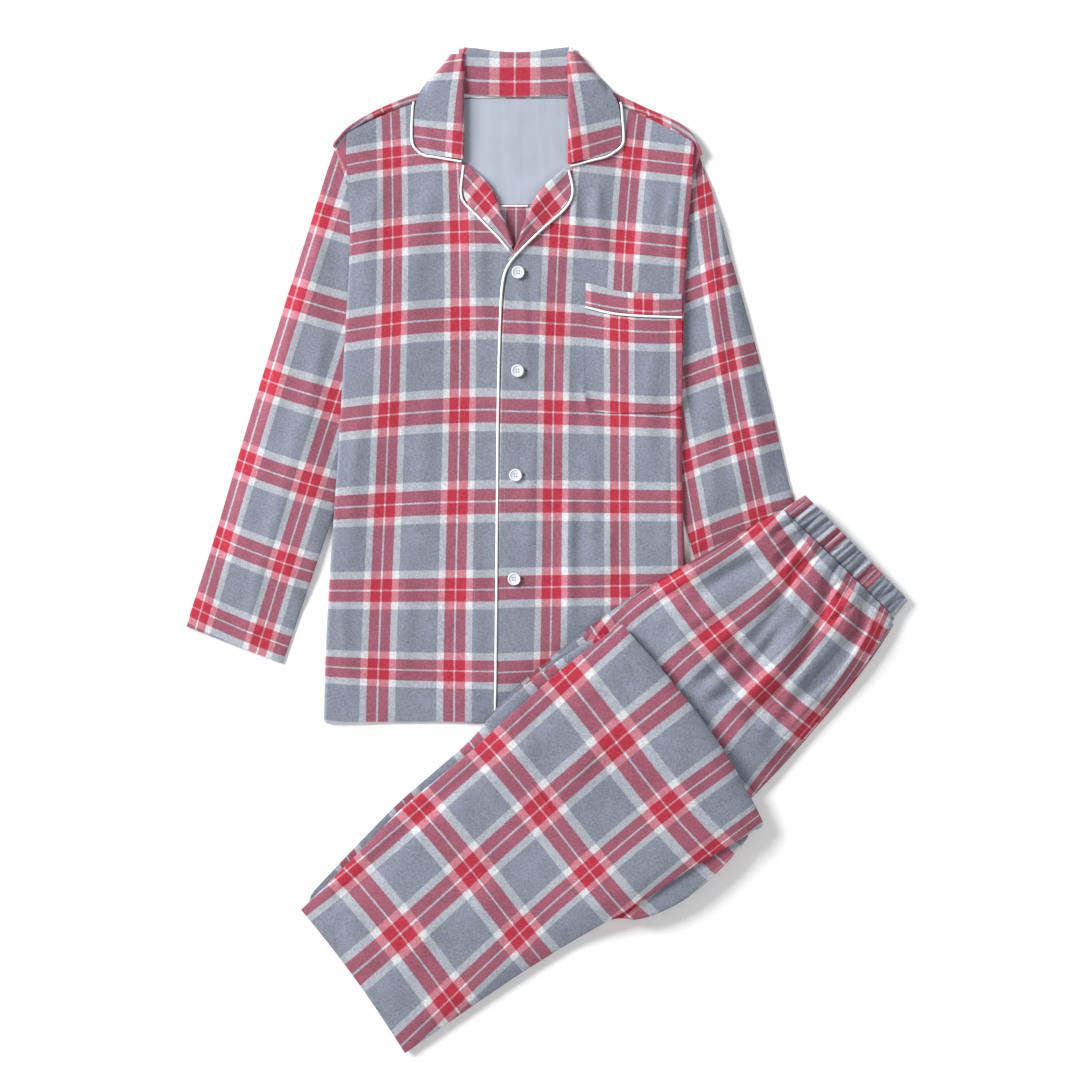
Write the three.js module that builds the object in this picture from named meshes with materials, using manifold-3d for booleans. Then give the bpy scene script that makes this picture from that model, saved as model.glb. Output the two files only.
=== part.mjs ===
// A flannel pyjama set laid out flat: a piped, notched-collar shirt, and trousers folded lengthwise and then
// in a Z that lie across its lower corner. Millimetres, +Z up, the surface it lies on at z = 0.
import * as THREE from "three";
import Module from "manifold-3d";
import { mergeVertices } from "three/addons/utils/BufferGeometryUtils.js";

const wasm = await Module();
wasm.setup();

// Cloth and seams
const CLOTH = 1.4; // one layer of brushed cotton twill
const DOUBLE_CLOTH = 2.2; // collar, lapels and pocket band are two layers with a thin interlining
const FACING = 1.2; // plain cotton inside the back neck
const GAP = 0.3; // between pieces at a seam
const LAYER_GAP = 0.85; // between layers that lie on each other
const PIPING = 2.7; // diameter of the corded piping

// Where each garment lies: the middle of the shirt's hem, and the middle of the trousers' hem
const SHIRT_PLACE = { x: -35.6, y: -199 };
const TROUSERS_PLACE = { x: -222, y: -496.8, turn: THREE.MathUtils.degToRad(37.3) };

// Sleeves lie flattened, two layers with a little air between them
const SLEEVE = { seat: 2.2, rise: 2.8, crown: 2.6, sole: 8 };
const SLEEVE_HEIGHT = SLEEVE.seat + SLEEVE.rise;
const UNDERARM = { x: 142.6, y: 425.5 };
const SLEEVE_EASE = 72; // the body climbs onto a sleeve over this distance
const UNDERARM_CORNER = { radius: 14, blend: 40 }; // the sleeve's hidden edge rounds off under the arm
// The body's side layers are turned under the back, as far up as `from` and fading out at `to`
const TURNED_SIDE = { height: 2.8, width: 30, fade: 60, from: 160, to: 300 };
const SIDE_ROUND = 3.2; // how far the front curls round the side
const BACK_INSET = 5.2; // the back ends this far inside the side
const CURL_FADE = [560, 592]; // above here the front's edge is the armhole seam and lies flat

// Neck and shoulders
const NECK_SEAM_Y = 719;
const NECK_EASE = { height: 1.6, fromY: 540, toY: 575, fromX: 95, toX: 125 }; // room for the facing
const SHOULDER_ROLL = 1.8; // radius of the back's cloth where it rolls forward over the shoulder
const SHOULDER_SETTLE = 1.7; // how far the rolled cloth sinks by the time it meets the front
const COLLAR_TOP_Y = 772.5;
const COLLAR_HALF = 59; // the roll line of each collar leaf is this far from the middle

// The wearer's left front laps over the right one
const LAP = { edgeX: -21, width: 32, fade: 28, step: CLOTH + GAP };
const BUTTON = { diameter: 15.2, height: 3.2, y: [517.5, 404.2, 284, 164.4], x: [2.3, 1.7, -0.6, -2.3] };

// Trousers: heights of the stacked stretches above whatever they lie on
const LEG = 4.6; // one flattened leg
const STACK = { under: 4.2, upper: 5.4, upperTop: 10, middle: 11.2, middleTop: 20.2 };
const RAMP = { low: 215, high: 318 }; // the lower stretch comes down from the stack between these
const FIRST_FOLD = 309;
const WAIST = { ridges: 19, ridgeHeight: 1.5, innerRidges: 0.2, wall: 3, thickness: 9.8, samples: 3 };
const DRAPE = { level: 24, end: 100 }; // past the shirt the trousers stay level, then come down

const clamp = (value, low, high) => Math.min(Math.max(value, low), high);
const mix = (a, b, t) => a + (b - a) * t;
const ease = (from, to, value) => {
  const t = clamp((value - from) / (to - from), 0, 1);
  return t * t * (3 - 2 * t);
};
// Draws evenly spaced shares together towards 0 and 1.
const crowdEnds = (share) => share - (0.7 / (2 * Math.PI)) * Math.sin(2 * Math.PI * share);
const larger = (a, b, softness = 2) => (a + b + Math.hypot(a - b, softness)) / 2;

function table(columns, ...rows) {
  return rows.map((row) => Object.fromEntries(columns.map((name, k) => [name, row[k]])));
}

// All columns at a share of the way down a table, on a smooth curve through its rows.
function rowAt(rows, share) {
  const place = clamp(share, 0, 1) * (rows.length - 1);
  const i = Math.min(Math.floor(place), rows.length - 2);
  const f = place - i;
  const row = {};
  for (const key of Object.keys(rows[0])) {
    const [a, b, c, d] = [-1, 0, 1, 2].map((k) => rows[clamp(i + k, 0, rows.length - 1)][key]);
    row[key] = b + 0.5 * f * (c - a + f * (2 * a - 5 * b + 4 * c - d + f * (3 * (b - c) + d - a)));
  }
  return row;
}

// One column of a table that rises by its key column, straight between rows.
function lookUp(rows, key, value, column) {
  const last = rows.length - 1;
  if (value <= rows[0][key]) return rows[0][column];
  if (value >= rows[last][key]) return rows[last][column];
  const i = rows.findIndex((row) => row[key] > value);
  const [a, b] = [rows[i - 1], rows[i]];
  return mix(a[column], b[column], (value - a[key]) / (b[key] - a[key]));
}

// Outlines, in the shirt's own frame: x to the right, y up from the hem
const SIDES = table(["y", "right", "left"],
  [0, -221.9, 212], [94, -219.6, 202], [186, -213.9, 194.3], [232, -210.4, 193.2], [278, -207, 190.9],
  [347, -202.4, 190.9], [416, -198.9, 192], [497, -194.3, 194.3], [566, -190.9, 197.8],
  [623, -195.5, 202.4], [658, -196.6, 205.5], [680, -195.5, 207]);

const SHOULDERS = table(["x", "outlineY", "seamY"],
  [-211.6, 664.5, 659.5], [-204, 674, 668], [-196.6, 683.1, 678], [-179.4, 695.8, 687.5],
  [-156.4, 708.4, 700.5], [-133.4, 717.6, 709.5], [-118.4, 724.5, 713.5], [-90, 733, 722],
  [-66, 740, 728], [66, 740, 728], [90, 735, 722], [110.4, 729.1, 716], [125.3, 718.8, 710],
  [142.6, 710.7, 700.3], [165.6, 701.5, 693.4], [188.6, 690, 684], [200.1, 680.8, 676],
  [208.1, 669.3, 664], [215, 655, 650]);

// Each front, from the hem to the shoulder seam: its side, its inner edge, and the upward bow between them
const FRONT_RIGHT = table(["sideX", "sideY", "innerX", "innerY", "bow"],
  [-221.9, 0, 10, 0, 0], [-219.6, 94, 10, 94, 0], [-213.9, 186, 10, 186, 0], [-207, 278, 10, 278, 0],
  [-202.4, 347, 10, 347, 0], [-198.9, 416, 10, 414, 0], [-194.3, 485, 10, 478, 0], [-192, 531, 6, 520, 0],
  [-190.9, 566, -8, 551, 0], [-192, 592, -16, 577, 1], [-194, 614, -24, 597, 2],
  [-195.5, 632, -34, 614, 3], [-196, 647, -47, 628, 4], [-196.4, 660, -66.5, 641, 5],
  [-196.3, 670, -69, 672, 6], [-195.5, 676.5, -73, 722.5, 7]);

const FRONT_LEFT = table(["sideX", "sideY", "innerX", "innerY", "bow"],
  [212, 0, -22.6, 0, 0], [202, 94, -21.6, 94, 0], [194.3, 186, -20.8, 186, 0], [190.9, 278, -20.2, 278, 0],
  [190.9, 347, -19.4, 347, 0], [192, 416, -17.8, 414, 0], [193.6, 472, -16.2, 470, 0],
  [195.6, 514, -13, 508, 0], [197.8, 550, -5, 534, 0], [199.6, 580, 6, 558, 1], [201.4, 604, 15, 581, 2],
  [203, 625, 24, 600, 3], [204.2, 642, 38, 617, 4], [205.2, 655, 65, 634, 5], [206, 664, 69, 668, 6],
  [203.5, 667, 73, 721, 7]);

// Each sleeve, from the cuff to the armhole: its outer and inner edge
const SLEEVE_RIGHT = table(["outerX", "outerY", "innerX", "innerY"],
  [-381.8, 110.4, -267.9, 66.7], [-366, 159, -252, 113], [-349.6, 209, -235.5, 162], [-323, 301, -207, 244],
  [-295.5, 393, -178, 325], [-266.8, 485, -157, 385], [-240, 568, -148, 411], [-220, 634, -144, 421],
  [-206, 672, -UNDERARM.x, UNDERARM.y]);

const SLEEVE_LEFT = table(["outerX", "outerY", "innerX", "innerY"],
  [362.2, 102.3, 236.9, 65.5], [352, 140, 226, 106], [338, 193, 210.5, 165], [318.5, 261, 187, 252],
  [298, 354, 169, 322], [276, 439.3, 155, 378], [248, 538, 147, 408], [226, 616, 144, 420],
  [207, 666, UNDERARM.x, UNDERARM.y]);

// Lapels, from the point of the neckline up to the notch: the roll line and the piped edge
const LAPEL_RIGHT = table(["rollX", "rollY", "edgeX", "edgeY"],
  [-3, 549, -8.5, 543.5], [-6.9, 563.5, -19, 556], [-12.6, 579.6, -33, 570.5],
  [-18.4, 594.5, -47.5, 585.5], [-24.1, 609.5, -61.5, 600], [-33.3, 623.3, -63.5, 614],
  [-45, 633.5, -62, 628], [-56, 642, -60.5, 640.5]);

const LAPEL_LEFT = table(["rollX", "rollY", "edgeX", "edgeY"],
  [-8, 533, -9.5, 527], [-1, 546, 5.5, 543.5], [7, 570, 25, 562.5], [14, 588, 42, 578],
  [21.5, 603.5, 60, 594], [32, 619, 66.5, 610], [44.8, 629, 63.5, 624], [56, 637, 60.5, 635]);

// Collar leaves, from the notch up to the back of the neck: the roll line's height, the outer edge, and how
// much of that edge turns down behind the shoulder
const LEAF_RIGHT = table(["rollY", "edgeX", "edgeY", "turn"],
  [647, -106, 654, 0], [658, -117.5, 661.5, 0], [669, -120, 671, 0], [683, -120.2, 684, 0],
  [699, -119.6, 699, 0], [712, -118.5, 711, 0], [724, -114, 723.5, 0], [736, -104.6, 734.8, 0.8],
  [748, -91.5, 747.5, 1], [760, -81.6, 759.5, 1], [769, -75.5, 768, 1]);

const LEAF_LEFT = table(["rollY", "edgeX", "edgeY", "turn"],
  [642, 104, 652.5, 0], [654, 118.2, 659.5, 0], [666, 123.6, 667.5, 0], [681, 123.6, 681, 0],
  [698, 122, 699, 0], [711, 120.8, 711, 0], [723, 114.5, 722.5, 0], [735, 104.5, 733.5, 0.8],
  [748, 91.5, 746.5, 1], [760, 80, 759.5, 1], [769, 73, 768, 1]);

// Trousers, in their own frame: u along the leg from the hem, v across it
const LEG_LOWER = table(["u", "left", "right"],
  [0, 103, -103], [97, 115.7, -107], [163, 126.2, -110.6], [222, 128.5, -116.2], [282, 130.8, -122.5],
  [314, 135.2, -126.5], [407, 142.8, -132.8], [453, 143, -138.2], [501, 143.2, -143]);

const LEG_UPPER = table(["u", "left", "right"],
  [312, 141, -110], [330, 149, -112], [358, 153, -113], [418, 156, -112], [477, 157.5, -110],
  [504, 157, -108.2], [540, 155, -99.3], [587, 150.5, -89], [645, 142.5, -76.1], [681, 138.5, -66.3],
  [708, 136, -57.5], [741, 131.5, -44]);

// The hidden layers: the run beneath the upper stretch, and the run above it, under the lower stretch
const UNDER_RUN = table(["u", "left", "right"],
  [297, 138, -108], [312, 148.6, -112], [330, 153, -114], [358, 156.5, -115], [418, 159.4, -114],
  [477, 160.5, -112], [540, 157.5, -101.5], [587, 152.8, -91.5], [645, 145, -78.5], [681, 140.8, -69],
  [708, 138, -60], [735, 133.5, -50]);

const MIDDLE_RUN = table(["u", "left", "right"],
  [1.5, 106, -100.5], [60, 116, -103], [163, 131.5, -108], [222, 135, -113.5], [270, 138, -119],
  [296, 142, -124], [309, 146, -137], [325, 148.5, -145], [355, 151, -153], [381, 152, -156],
  [411, 151.5, -155], [443, 150, -151], [470, 146, -145], [487, 141, -139]);

// Soft folds that run down the leg from the gathered waist: where each starts, its lean and its length
const THIGH_FOLDS = table(["v", "lean", "length", "width", "height"],
  [121, 16, 120, 6, 1.5], [104, 22, 150, 8, 2.6], [86, 20, 70, 5, 1.4], [72, 22, 190, 9, 2.8],
  [54, 14, 80, 5, 1.6], [38, 10, 210, 10, 3.0], [20, 4, 90, 6, 1.8], [4, -10, 200, 9, 3.2],
  [-13, -22, 110, 6, 2.0], [-30, -34, 150, 7, 2.2]);

// Solids

// A closed mesh from points and the triangles between them, with its faces pointing out.
function solid(points, triangles) {
  let volume = 0;
  for (const [a, b, c] of triangles) {
    const [p, q, r] = [a, b, c].map((k) => new THREE.Vector3(...points[k]));
    volume += p.dot(q.cross(r));
  }
  const order = volume < 0 ? ([a, b, c]) => [a, c, b] : (corners) => corners;
  const geometry = new THREE.BufferGeometry();
  geometry.setAttribute("position", new THREE.Float32BufferAttribute(points.flat(), 3));
  geometry.setIndex(triangles.flatMap(order));
  return geometry.toNonIndexed();
}

const quad = (a, b, c, d) => [[a, b, c], [a, c, d]];

// A closed sheet: for each place on a grid, `layer(s, t)` gives its upper and its lower point.
function sheet(rows, columns, layer) {
  const width = columns + 1;
  const lower = (rows + 1) * width;
  const above = [];
  const below = [];
  for (let i = 0; i <= rows; i++)
    for (let j = 0; j <= columns; j++) {
      const [top, bottom] = layer(i / rows, j / columns);
      above.push(top);
      below.push(bottom);
    }
  const faces = [];
  for (let i = 0; i < rows; i++)
    for (let j = 0; j < columns; j++) {
      const a = i * width + j;
      faces.push(...quad(a, a + width, a + width + 1, a + 1));
      faces.push(...quad(lower + a, lower + a + 1, lower + a + width + 1, lower + a + width));
    }
  const rim = [];
  for (let j = 0; j < columns; j++) rim.push(j);
  for (let i = 0; i < rows; i++) rim.push(i * width + columns);
  for (let j = columns; j > 0; j--) rim.push(rows * width + j);
  for (let i = rows; i > 0; i--) rim.push(i * width);
  rim.forEach((a, k) => {
    const b = rim[(k + 1) % rim.length];
    faces.push(...quad(a, b, lower + b, lower + a));
  });
  return solid([...above, ...below], faces);
}

// A cloth wall: half its thickness is laid off on each side of the surface `middle(s, t)`.
function wall(rows, columns, middle, thickness) {
  const step = 1e-3;
  return sheet(rows, columns, (s, t) => {
    const slope = (ds, dt) => {
      const from = new THREE.Vector3(...middle(clamp(s - ds, 0, 1), clamp(t - dt, 0, 1)));
      return new THREE.Vector3(...middle(clamp(s + ds, 0, 1), clamp(t + dt, 0, 1))).sub(from);
    };
    const half = (typeof thickness === "function" ? thickness(s, t) : thickness) / 2;
    const normal = slope(step, 0).cross(slope(0, step)).normalize().multiplyScalar(half);
    const [x, y, z] = middle(s, t);
    return [[x + normal.x, y + normal.y, z + normal.z], [x - normal.x, y - normal.y, z - normal.z]];
  });
}

// A body through rings of equally many points: closed on itself, or with a cap at each end.
function loft(rings, endless) {
  const count = rings[0].length;
  const points = rings.flat();
  const faces = [];
  const spans = endless ? rings.length : rings.length - 1;
  for (let i = 0; i < spans; i++)
    for (let k = 0; k < count; k++) {
      const next = (k + 1) % count;
      const [a, b] = [i * count, ((i + 1) % rings.length) * count];
      faces.push(...quad(a + k, a + next, b + next, b + k));
    }
  if (!endless)
    for (const [start, turn] of [[0, 1], [(rings.length - 1) * count, -1]]) {
      const centre = points.length;
      const ring = points.slice(start, start + count);
      points.push([0, 1, 2].map((axis) => ring.reduce((sum, p) => sum + p[axis], 0) / count));
      for (let k = 0; k < count; k++) {
        const pair = [start + k, start + ((k + 1) % count)];
        if (turn > 0) pair.reverse();
        faces.push([centre, pair[0], pair[1]]);
      }
    }
  return solid(points, faces);
}

// The points of a ring round a flattened layer: `place(w)` gives x and y across it, w from -1 to 1.
function flatRing(above, below, place, top, bottom) {
  const ring = [];
  for (let k = 0; k <= above; k++) {
    const w = -Math.cos((Math.PI * k) / above);
    ring.push([...place(w), top(w)]);
  }
  for (let k = below - 1; k > 0; k--) {
    const w = -Math.cos((Math.PI * k) / below);
    ring.push([...place(w), bottom(w)]);
  }
  return ring;
}

const crown = (w, power) => Math.max(1 - Math.abs(w) ** power, 0) ** (1 / power);

// Piping: a round cord along a smooth curve.
function cord(points, steps, diameter = PIPING, sides = 5) {
  const path = new THREE.CatmullRomCurve3(points.map((p) => new THREE.Vector3(...p)), false, "centripetal");
  const round = new THREE.Shape();
  for (let k = 0; k < sides; k++) {
    const turn = (2 * Math.PI * (k + 0.5)) / sides;
    const [x, y] = [(diameter / 2) * Math.cos(turn), (diameter / 2) * Math.sin(turn)];
    k ? round.lineTo(x, y) : round.moveTo(x, y);
  }
  return new THREE.ExtrudeGeometry(round, { steps, extrudePath: path, bevelEnabled: false });
}

function manifold(geometry) {
  const bare = geometry.clone();
  bare.deleteAttribute("normal");
  bare.deleteAttribute("uv");
  const merged = mergeVertices(bare, 1e-3);
  return new wasm.Manifold(new wasm.Mesh({
    numProp: 3,
    vertProperties: merged.attributes.position.array,
    triVerts: new Uint32Array(merged.index.array),
  }));
}

function joined(...geometries) {
  const mesh = geometries.map(manifold).reduce((a, b) => a.add(b)).getMesh();
  const geometry = new THREE.BufferGeometry();
  geometry.setAttribute("position", new THREE.BufferAttribute(mesh.vertProperties, 3));
  geometry.setIndex(new THREE.BufferAttribute(mesh.triVerts, 1));
  return geometry.toNonIndexed();
}

// Heights of the laid-out shirt

// How far a place lies inside a sleeve's hidden edges: the line from cuff to underarm, and the armhole.
function insideSleeve(x, y, rows) {
  const [cuff, head] = [rows[0], rows[rows.length - 1]];
  const sign = Math.sign(cuff.outerX);
  const past = (fromX, fromY, toX, toY) => {
    const [dx, dy] = [toX - fromX, toY - fromY];
    return (sign * ((x - fromX) * dy - (y - fromY) * dx)) / Math.hypot(dx, dy);
  };
  const [along, above] = [
    past(cuff.innerX, cuff.innerY, head.innerX, head.innerY),
    past(head.innerX, head.innerY, head.outerX, head.outerY),
  ];
  const { radius, blend } = UNDERARM_CORNER;
  const apart = along - above;
  return (along + above - Math.hypot(apart, radius) + radius * (1 - ease(0, blend, Math.abs(apart)))) / 2;
}

// The height that clears the sleeves, reached a little outside their hidden edges.
const clearance = (x, y, reach) => {
  const inside = Math.max(...[SLEEVE_RIGHT, SLEEVE_LEFT].map((rows) => insideSleeve(x, y, rows)));
  return (SLEEVE_HEIGHT + LAYER_GAP) * ease(-reach, -4, inside);
};

const underBody = (x, y) => clearance(x, y, SLEEVE_EASE);

function lift(x, y) {
  const side = x < 0 ? x - lookUp(SIDES, "y", y, "right") : lookUp(SIDES, "y", y, "left") - x;
  const { height, width, fade, from, to } = TURNED_SIDE;
  const turned = height * (1 - ease(width, width + fade, side)) * (1 - ease(from, to, y));
  const over = underBody(x, y);
  return Math.max(larger(over, turned, 1) - 0.5, over);
}

const neckEase = (x, y) => {
  const shape = NECK_EASE;
  return shape.height * ease(shape.fromY, shape.toY, y) * (1 - ease(shape.fromX, shape.toX, Math.abs(x)));
};

// Middle of each front's cloth, and the top of whichever front is uppermost.
const rightFrontZ = (x, y) => lift(x, y) + CLOTH * 1.5 + LAYER_GAP + neckEase(x, y);
const leftFrontZ = (x, y) => {
  const lap = LAP.edgeX + LAP.width;
  return rightFrontZ(x, y) + LAP.step * (1 - ease(lap, lap + LAP.fade, x));
};
const frontTop = (x, y) => (x > LAP.edgeX ? leftFrontZ(x, y) : rightFrontZ(x, y)) + CLOTH / 2;

// Shirt pieces

// The back lies under everything and rolls forward over both shoulders to the forward shoulder seams.
const BACK_TOP = { right: -210.5, left: 214, flare: [606, 662] };
const ROLLED_FROM = [68, 84]; // the roll starts clear of the neck
const FLAT_SHARE = 0.72; // of the back's columns

function backPlace(evenS, t) {
  const s = crowdEnds(evenS);
  const topX = mix(BACK_TOP.right, BACK_TOP.left, s);
  const rolled = ease(...ROLLED_FROM, Math.abs(topX));
  const arc = Math.PI * SHOULDER_ROLL;
  const outline = lookUp(SHOULDERS, "x", topX, "outlineY");
  const seam = lookUp(SHOULDERS, "x", topX, "seamY");
  const ahead = mix(0.6, Math.max(outline - seam - SHOULDER_ROLL - 1, 2.2), rolled ** 3);
  const lieTo = mix(NECK_SEAM_Y - arc - 0.6, outline - SHOULDER_ROLL - CLOTH / 2, rolled);
  const y = lieTo * Math.min(t / FLAT_SHARE, 1);
  const flare = ease(...BACK_TOP.flare, y);
  const right = mix(lookUp(SIDES, "y", y, "right") + BACK_INSET, BACK_TOP.right, flare);
  const left = mix(lookUp(SIDES, "y", y, "left") - BACK_INSET, BACK_TOP.left, flare);
  const x = mix(right, left, s);
  const filled = (lift(x, y) - underBody(x, y)) * (1 - ease(0.85, 1, t / FLAT_SHARE));
  return { x, y, filled, rolled, arc, ahead };
}

function shirtBack() {
  return wall(20, 18, (s, t) => {
    const { x, y, filled, rolled, arc, ahead } = backPlace(s, t);
    const level = underBody(x, y) + (CLOTH + filled) / 2;
    if (t <= FLAT_SHARE) return [x, y, level];
    const run = ((t - FLAT_SHARE) / (1 - FLAT_SHARE)) * (arc + ahead);
    const turn = Math.max(Math.PI * rolled, 1e-3);
    const radius = arc / turn;
    const bent = Math.min(run, arc) / radius;
    const straight = Math.max(run - arc, 0);
    const forward = radius * Math.sin(bent) + straight * Math.cos(turn);
    const rise = radius * (1 - Math.cos(bent)) + straight * Math.sin(turn);
    return [x, y + forward, level + rise - rolled * SHOULDER_SETTLE * (straight / ahead) ** 1.5];
  }, (s, t) => CLOTH + (t > FLAT_SHARE ? 0 : backPlace(s, t).filled));
}

// A front: it curls down round the side, then lies flat as far as its inner edge.
function front(rows, height, inset) {
  const columns = 13;
  const curled = 3 / columns;
  return wall(17, columns, (s, t) => {
    const row = rowAt(rows, s);
    const [dx, dy] = [row.innerX - row.sideX, row.innerY - row.sideY];
    const length = Math.hypot(dx, dy);
    const inward = t <= curled ? 1 - Math.sin((Math.PI / 2) * (1 - t / curled)) : 0;
    const reach = CLOTH / 2 + (t <= curled ? SIDE_ROUND * inward
      : mix(SIDE_ROUND, length - inset, ((t - curled) / (1 - curled)) ** 1.4));
    const share = reach / length;
    const x = row.sideX + dx * share;
    const y = row.sideY + dy * share + row.bow * 4 * share * (1 - share);
    const top = height(x, y);
    if (t >= curled) return [x, y, top];
    const foot = mix(clearance(row.sideX, row.sideY, 14), top, ease(...CURL_FADE, row.sideY));
    return [x, y, mix(foot, top, Math.cos((Math.PI / 2) * (1 - t / curled)))];
  }, CLOTH);
}

// A sleeve: a flattened tube, open at the cuff and at the armhole.
function sleeve(rows) {
  const steps = 12;
  const ringAt = (s, inset) => {
    const row = rowAt(rows, s);
    const [dx, dy] = [row.innerX - row.outerX, row.innerY - row.outerY];
    const half = 0.5 - inset / Math.hypot(dx, dy);
    const place = (w) => [row.outerX + dx * (0.5 + w * half), row.outerY + dy * (0.5 + w * half)];
    const top = (w) => SLEEVE.seat + (SLEEVE.rise - inset) * crown(w, SLEEVE.crown);
    const bottom = (w) => SLEEVE.seat - (SLEEVE.seat - inset) * crown(w, SLEEVE.sole);
    return flatRing(9, 9, place, top, bottom);
  };
  const shares = Array.from({ length: steps + 1 }, (_, i) => i / steps);
  const outer = shares.map((s) => ringAt(s, 0));
  const inner = shares.filter((_, i) => i % 2 === 0).map((s) => ringAt(s, CLOTH));
  return loft([...outer, ...inner.reverse()], true);
}

// A lapel: the front's double cloth rolled back from the roll line to the piped edge.
function lapelPoint(rows, base, s, t) {
  const row = rowAt(rows, s);
  const [dx, dy] = [row.edgeX - row.rollX, row.edgeY - row.rollY];
  const width = Math.hypot(dx, dy);
  const rollRadius = 1.8 * Math.min(1, width / 12);
  const bend = 0.3;
  const setBack = (rollRadius + DOUBLE_CLOTH / 2) * Math.min(1, width / 12);
  let reach = setBack;
  let height = 0;
  const low = base(row.rollX, row.rollY);
  if (t < bend) {
    const turn = (Math.PI * t) / bend;
    reach = setBack - rollRadius * Math.sin(turn);
    height = low + rollRadius * (1 - Math.cos(turn));
  } else {
    const f = (t - bend) / (1 - bend);
    reach = mix(setBack, width - PIPING / 2 - 3.5 * GAP, f);
    const share = reach / width;
    const rest = base(row.rollX + dx * share, row.rollY + dy * share) + CLOTH / 2 + GAP + DOUBLE_CLOTH / 2;
    height = mix(low + 2 * rollRadius, Math.max(rest, 0), ease(0, 0.55, f));
  }
  const share = reach / width;
  return [row.rollX + dx * share, row.rollY + dy * share, height];
}

const lapel = (rows, base) =>
  wall(9, 10, (s, t) => lapelPoint(rows, base, s, t), (s, t) => mix(CLOTH, DOUBLE_CLOTH, ease(0, 0.3, t)));

// A collar leaf: it rolls up out of the neck and falls outwards over the front and the shoulder.
const LEAF_FOOT = { z: 4.7, reach: 6.6, setBack: 3.8, radius: 2.6 };
function leafPoint(rows, s, t) {
  const row = rowAt(rows, s);
  const sign = Math.sign(row.edgeX);
  const [dx, dy] = [row.edgeX - sign * COLLAR_HALF, row.edgeY - row.rollY];
  const width = Math.hypot(dx, dy);
  const { z, reach: footReach, setBack, radius } = LEAF_FOOT;
  const [foot, bend] = [0.1, 0.38];
  let reach = mix(footReach, setBack, t / foot);
  let height = z;
  if (t > foot && t < bend) {
    const turn = (Math.PI * (t - foot)) / (bend - foot);
    reach = setBack - radius * Math.sin(turn);
    height = z + radius * (1 - Math.cos(turn));
  } else if (t >= bend) {
    const f = (t - bend) / (1 - bend);
    const end = width - (PIPING / 2 + 4 * GAP) * (1 - row.turn);
    reach = mix(setBack, end, f);
    const shoulder = 2.4 * ease(690, 722, row.rollY);
    const under = frontTop(sign * COLLAR_HALF + (dx * reach) / width, 650);
    const rest = under + GAP + DOUBLE_CLOTH / 2 + shoulder;
    height = mix(z + 2 * radius, rest, ease(0, 0.8, f));
    const over = clamp((f - 0.72) / 0.28, 0, 1);
    height -= row.turn * (height - 1.2) * (1 - Math.sqrt(1 - over ** 2.4));
  }
  const share = reach / width;
  return [sign * COLLAR_HALF + dx * share, row.rollY + dy * share, height];
}

// The collar's back: the stand shows inside the neck, and the fall folds down behind it.
function collarBack() {
  const rollRadius = 2.4;
  const low = DOUBLE_CLOTH / 2;
  return wall(7, 10, (s, t) => {
    const x = mix(-66, 66, s);
    const top = COLLAR_TOP_Y + 6 * ease(10, 60, Math.abs(x)) - 1;
    const seam = NECK_SEAM_Y + 1.2 + 3 * ease(10, 60, Math.abs(x));
    const bendY = top - rollRadius - DOUBLE_CLOTH / 2;
    if (t < 0.5) {
      const f = t / 0.5;
      return [x, mix(seam, bendY, f), mix(2.6, low + 2 * rollRadius, ease(0, 0.8, f))];
    }
    if (t < 0.75) {
      const turn = (Math.PI * (t - 0.5)) / 0.25;
      return [x, bendY + rollRadius * Math.sin(turn), low + rollRadius * (1 + Math.cos(turn))];
    }
    return [x, mix(bendY, seam + 3, (t - 0.75) / 0.25), low];
  }, DOUBLE_CLOTH);
}

const leaf = (rows) => wall(10, 12, (s, t) => leafPoint(rows, s, t), DOUBLE_CLOTH);

const collar = () => joined(leaf(LEAF_RIGHT), collarBack(), leaf(LEAF_LEFT));

// The facing lies on the back, inside the neck.
const NECK_FACING = { halfWidth: 84, foot: 592, bow: 3 };
const facingZ = CLOTH + GAP + FACING / 2;
const neckFacing = () =>
  wall(8, 4, (s, t) => {
    const x = mix(-1, 1, s) * mix(NECK_FACING.halfWidth - 16, NECK_FACING.halfWidth - 22, t);
    const foot = NECK_FACING.foot + PIPING / 2 + NECK_FACING.bow * (1 - (x / NECK_FACING.halfWidth) ** 2);
    return [x, mix(foot, NECK_SEAM_Y - 1.4, t), facingZ];
  }, FACING);

// The pocket is laid on the left front, its points moved out from the front's.
const POCKET = { left: 80, right: 190.5, foot: 356 };
const POCKET_BAND = table(["x", "top", "foot"],
  [80.5, 505.5, 478.5], [90.8, 503.7, 475.5], [108.1, 497.9, 471.3], [125.3, 494.5, 468.9],
  [142.6, 493.3, 467.7], [165, 492.7, 466.8], [190.5, 492.2, 466]);
const bandTop = (x) => lookUp(POCKET_BAND, "x", x, "top");
const bandFoot = (x) => lookUp(POCKET_BAND, "x", x, "foot");

const pocketBag = () =>
  wall(7, 6, (s, t) => {
    const x = mix(POCKET.left, POCKET.right, s);
    const corner = 6 * (1 - ease(0, 14, Math.min(x - POCKET.left, POCKET.right - x)));
    const y = mix(POCKET.foot + corner, bandFoot(x) - PIPING - 0.6, t);
    return [x, y, frontTop(x, y) + LAYER_GAP + CLOTH / 2];
  }, CLOTH);

const pocketBand = () =>
  wall(9, 2, (s, t) => {
    const x = mix(POCKET.left, POCKET.right, s);
    const y = mix(bandFoot(x) + PIPING / 2, bandTop(x), t);
    return [x, y, frontTop(x, y) + LAYER_GAP + DOUBLE_CLOTH / 2];
  }, DOUBLE_CLOTH);

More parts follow.
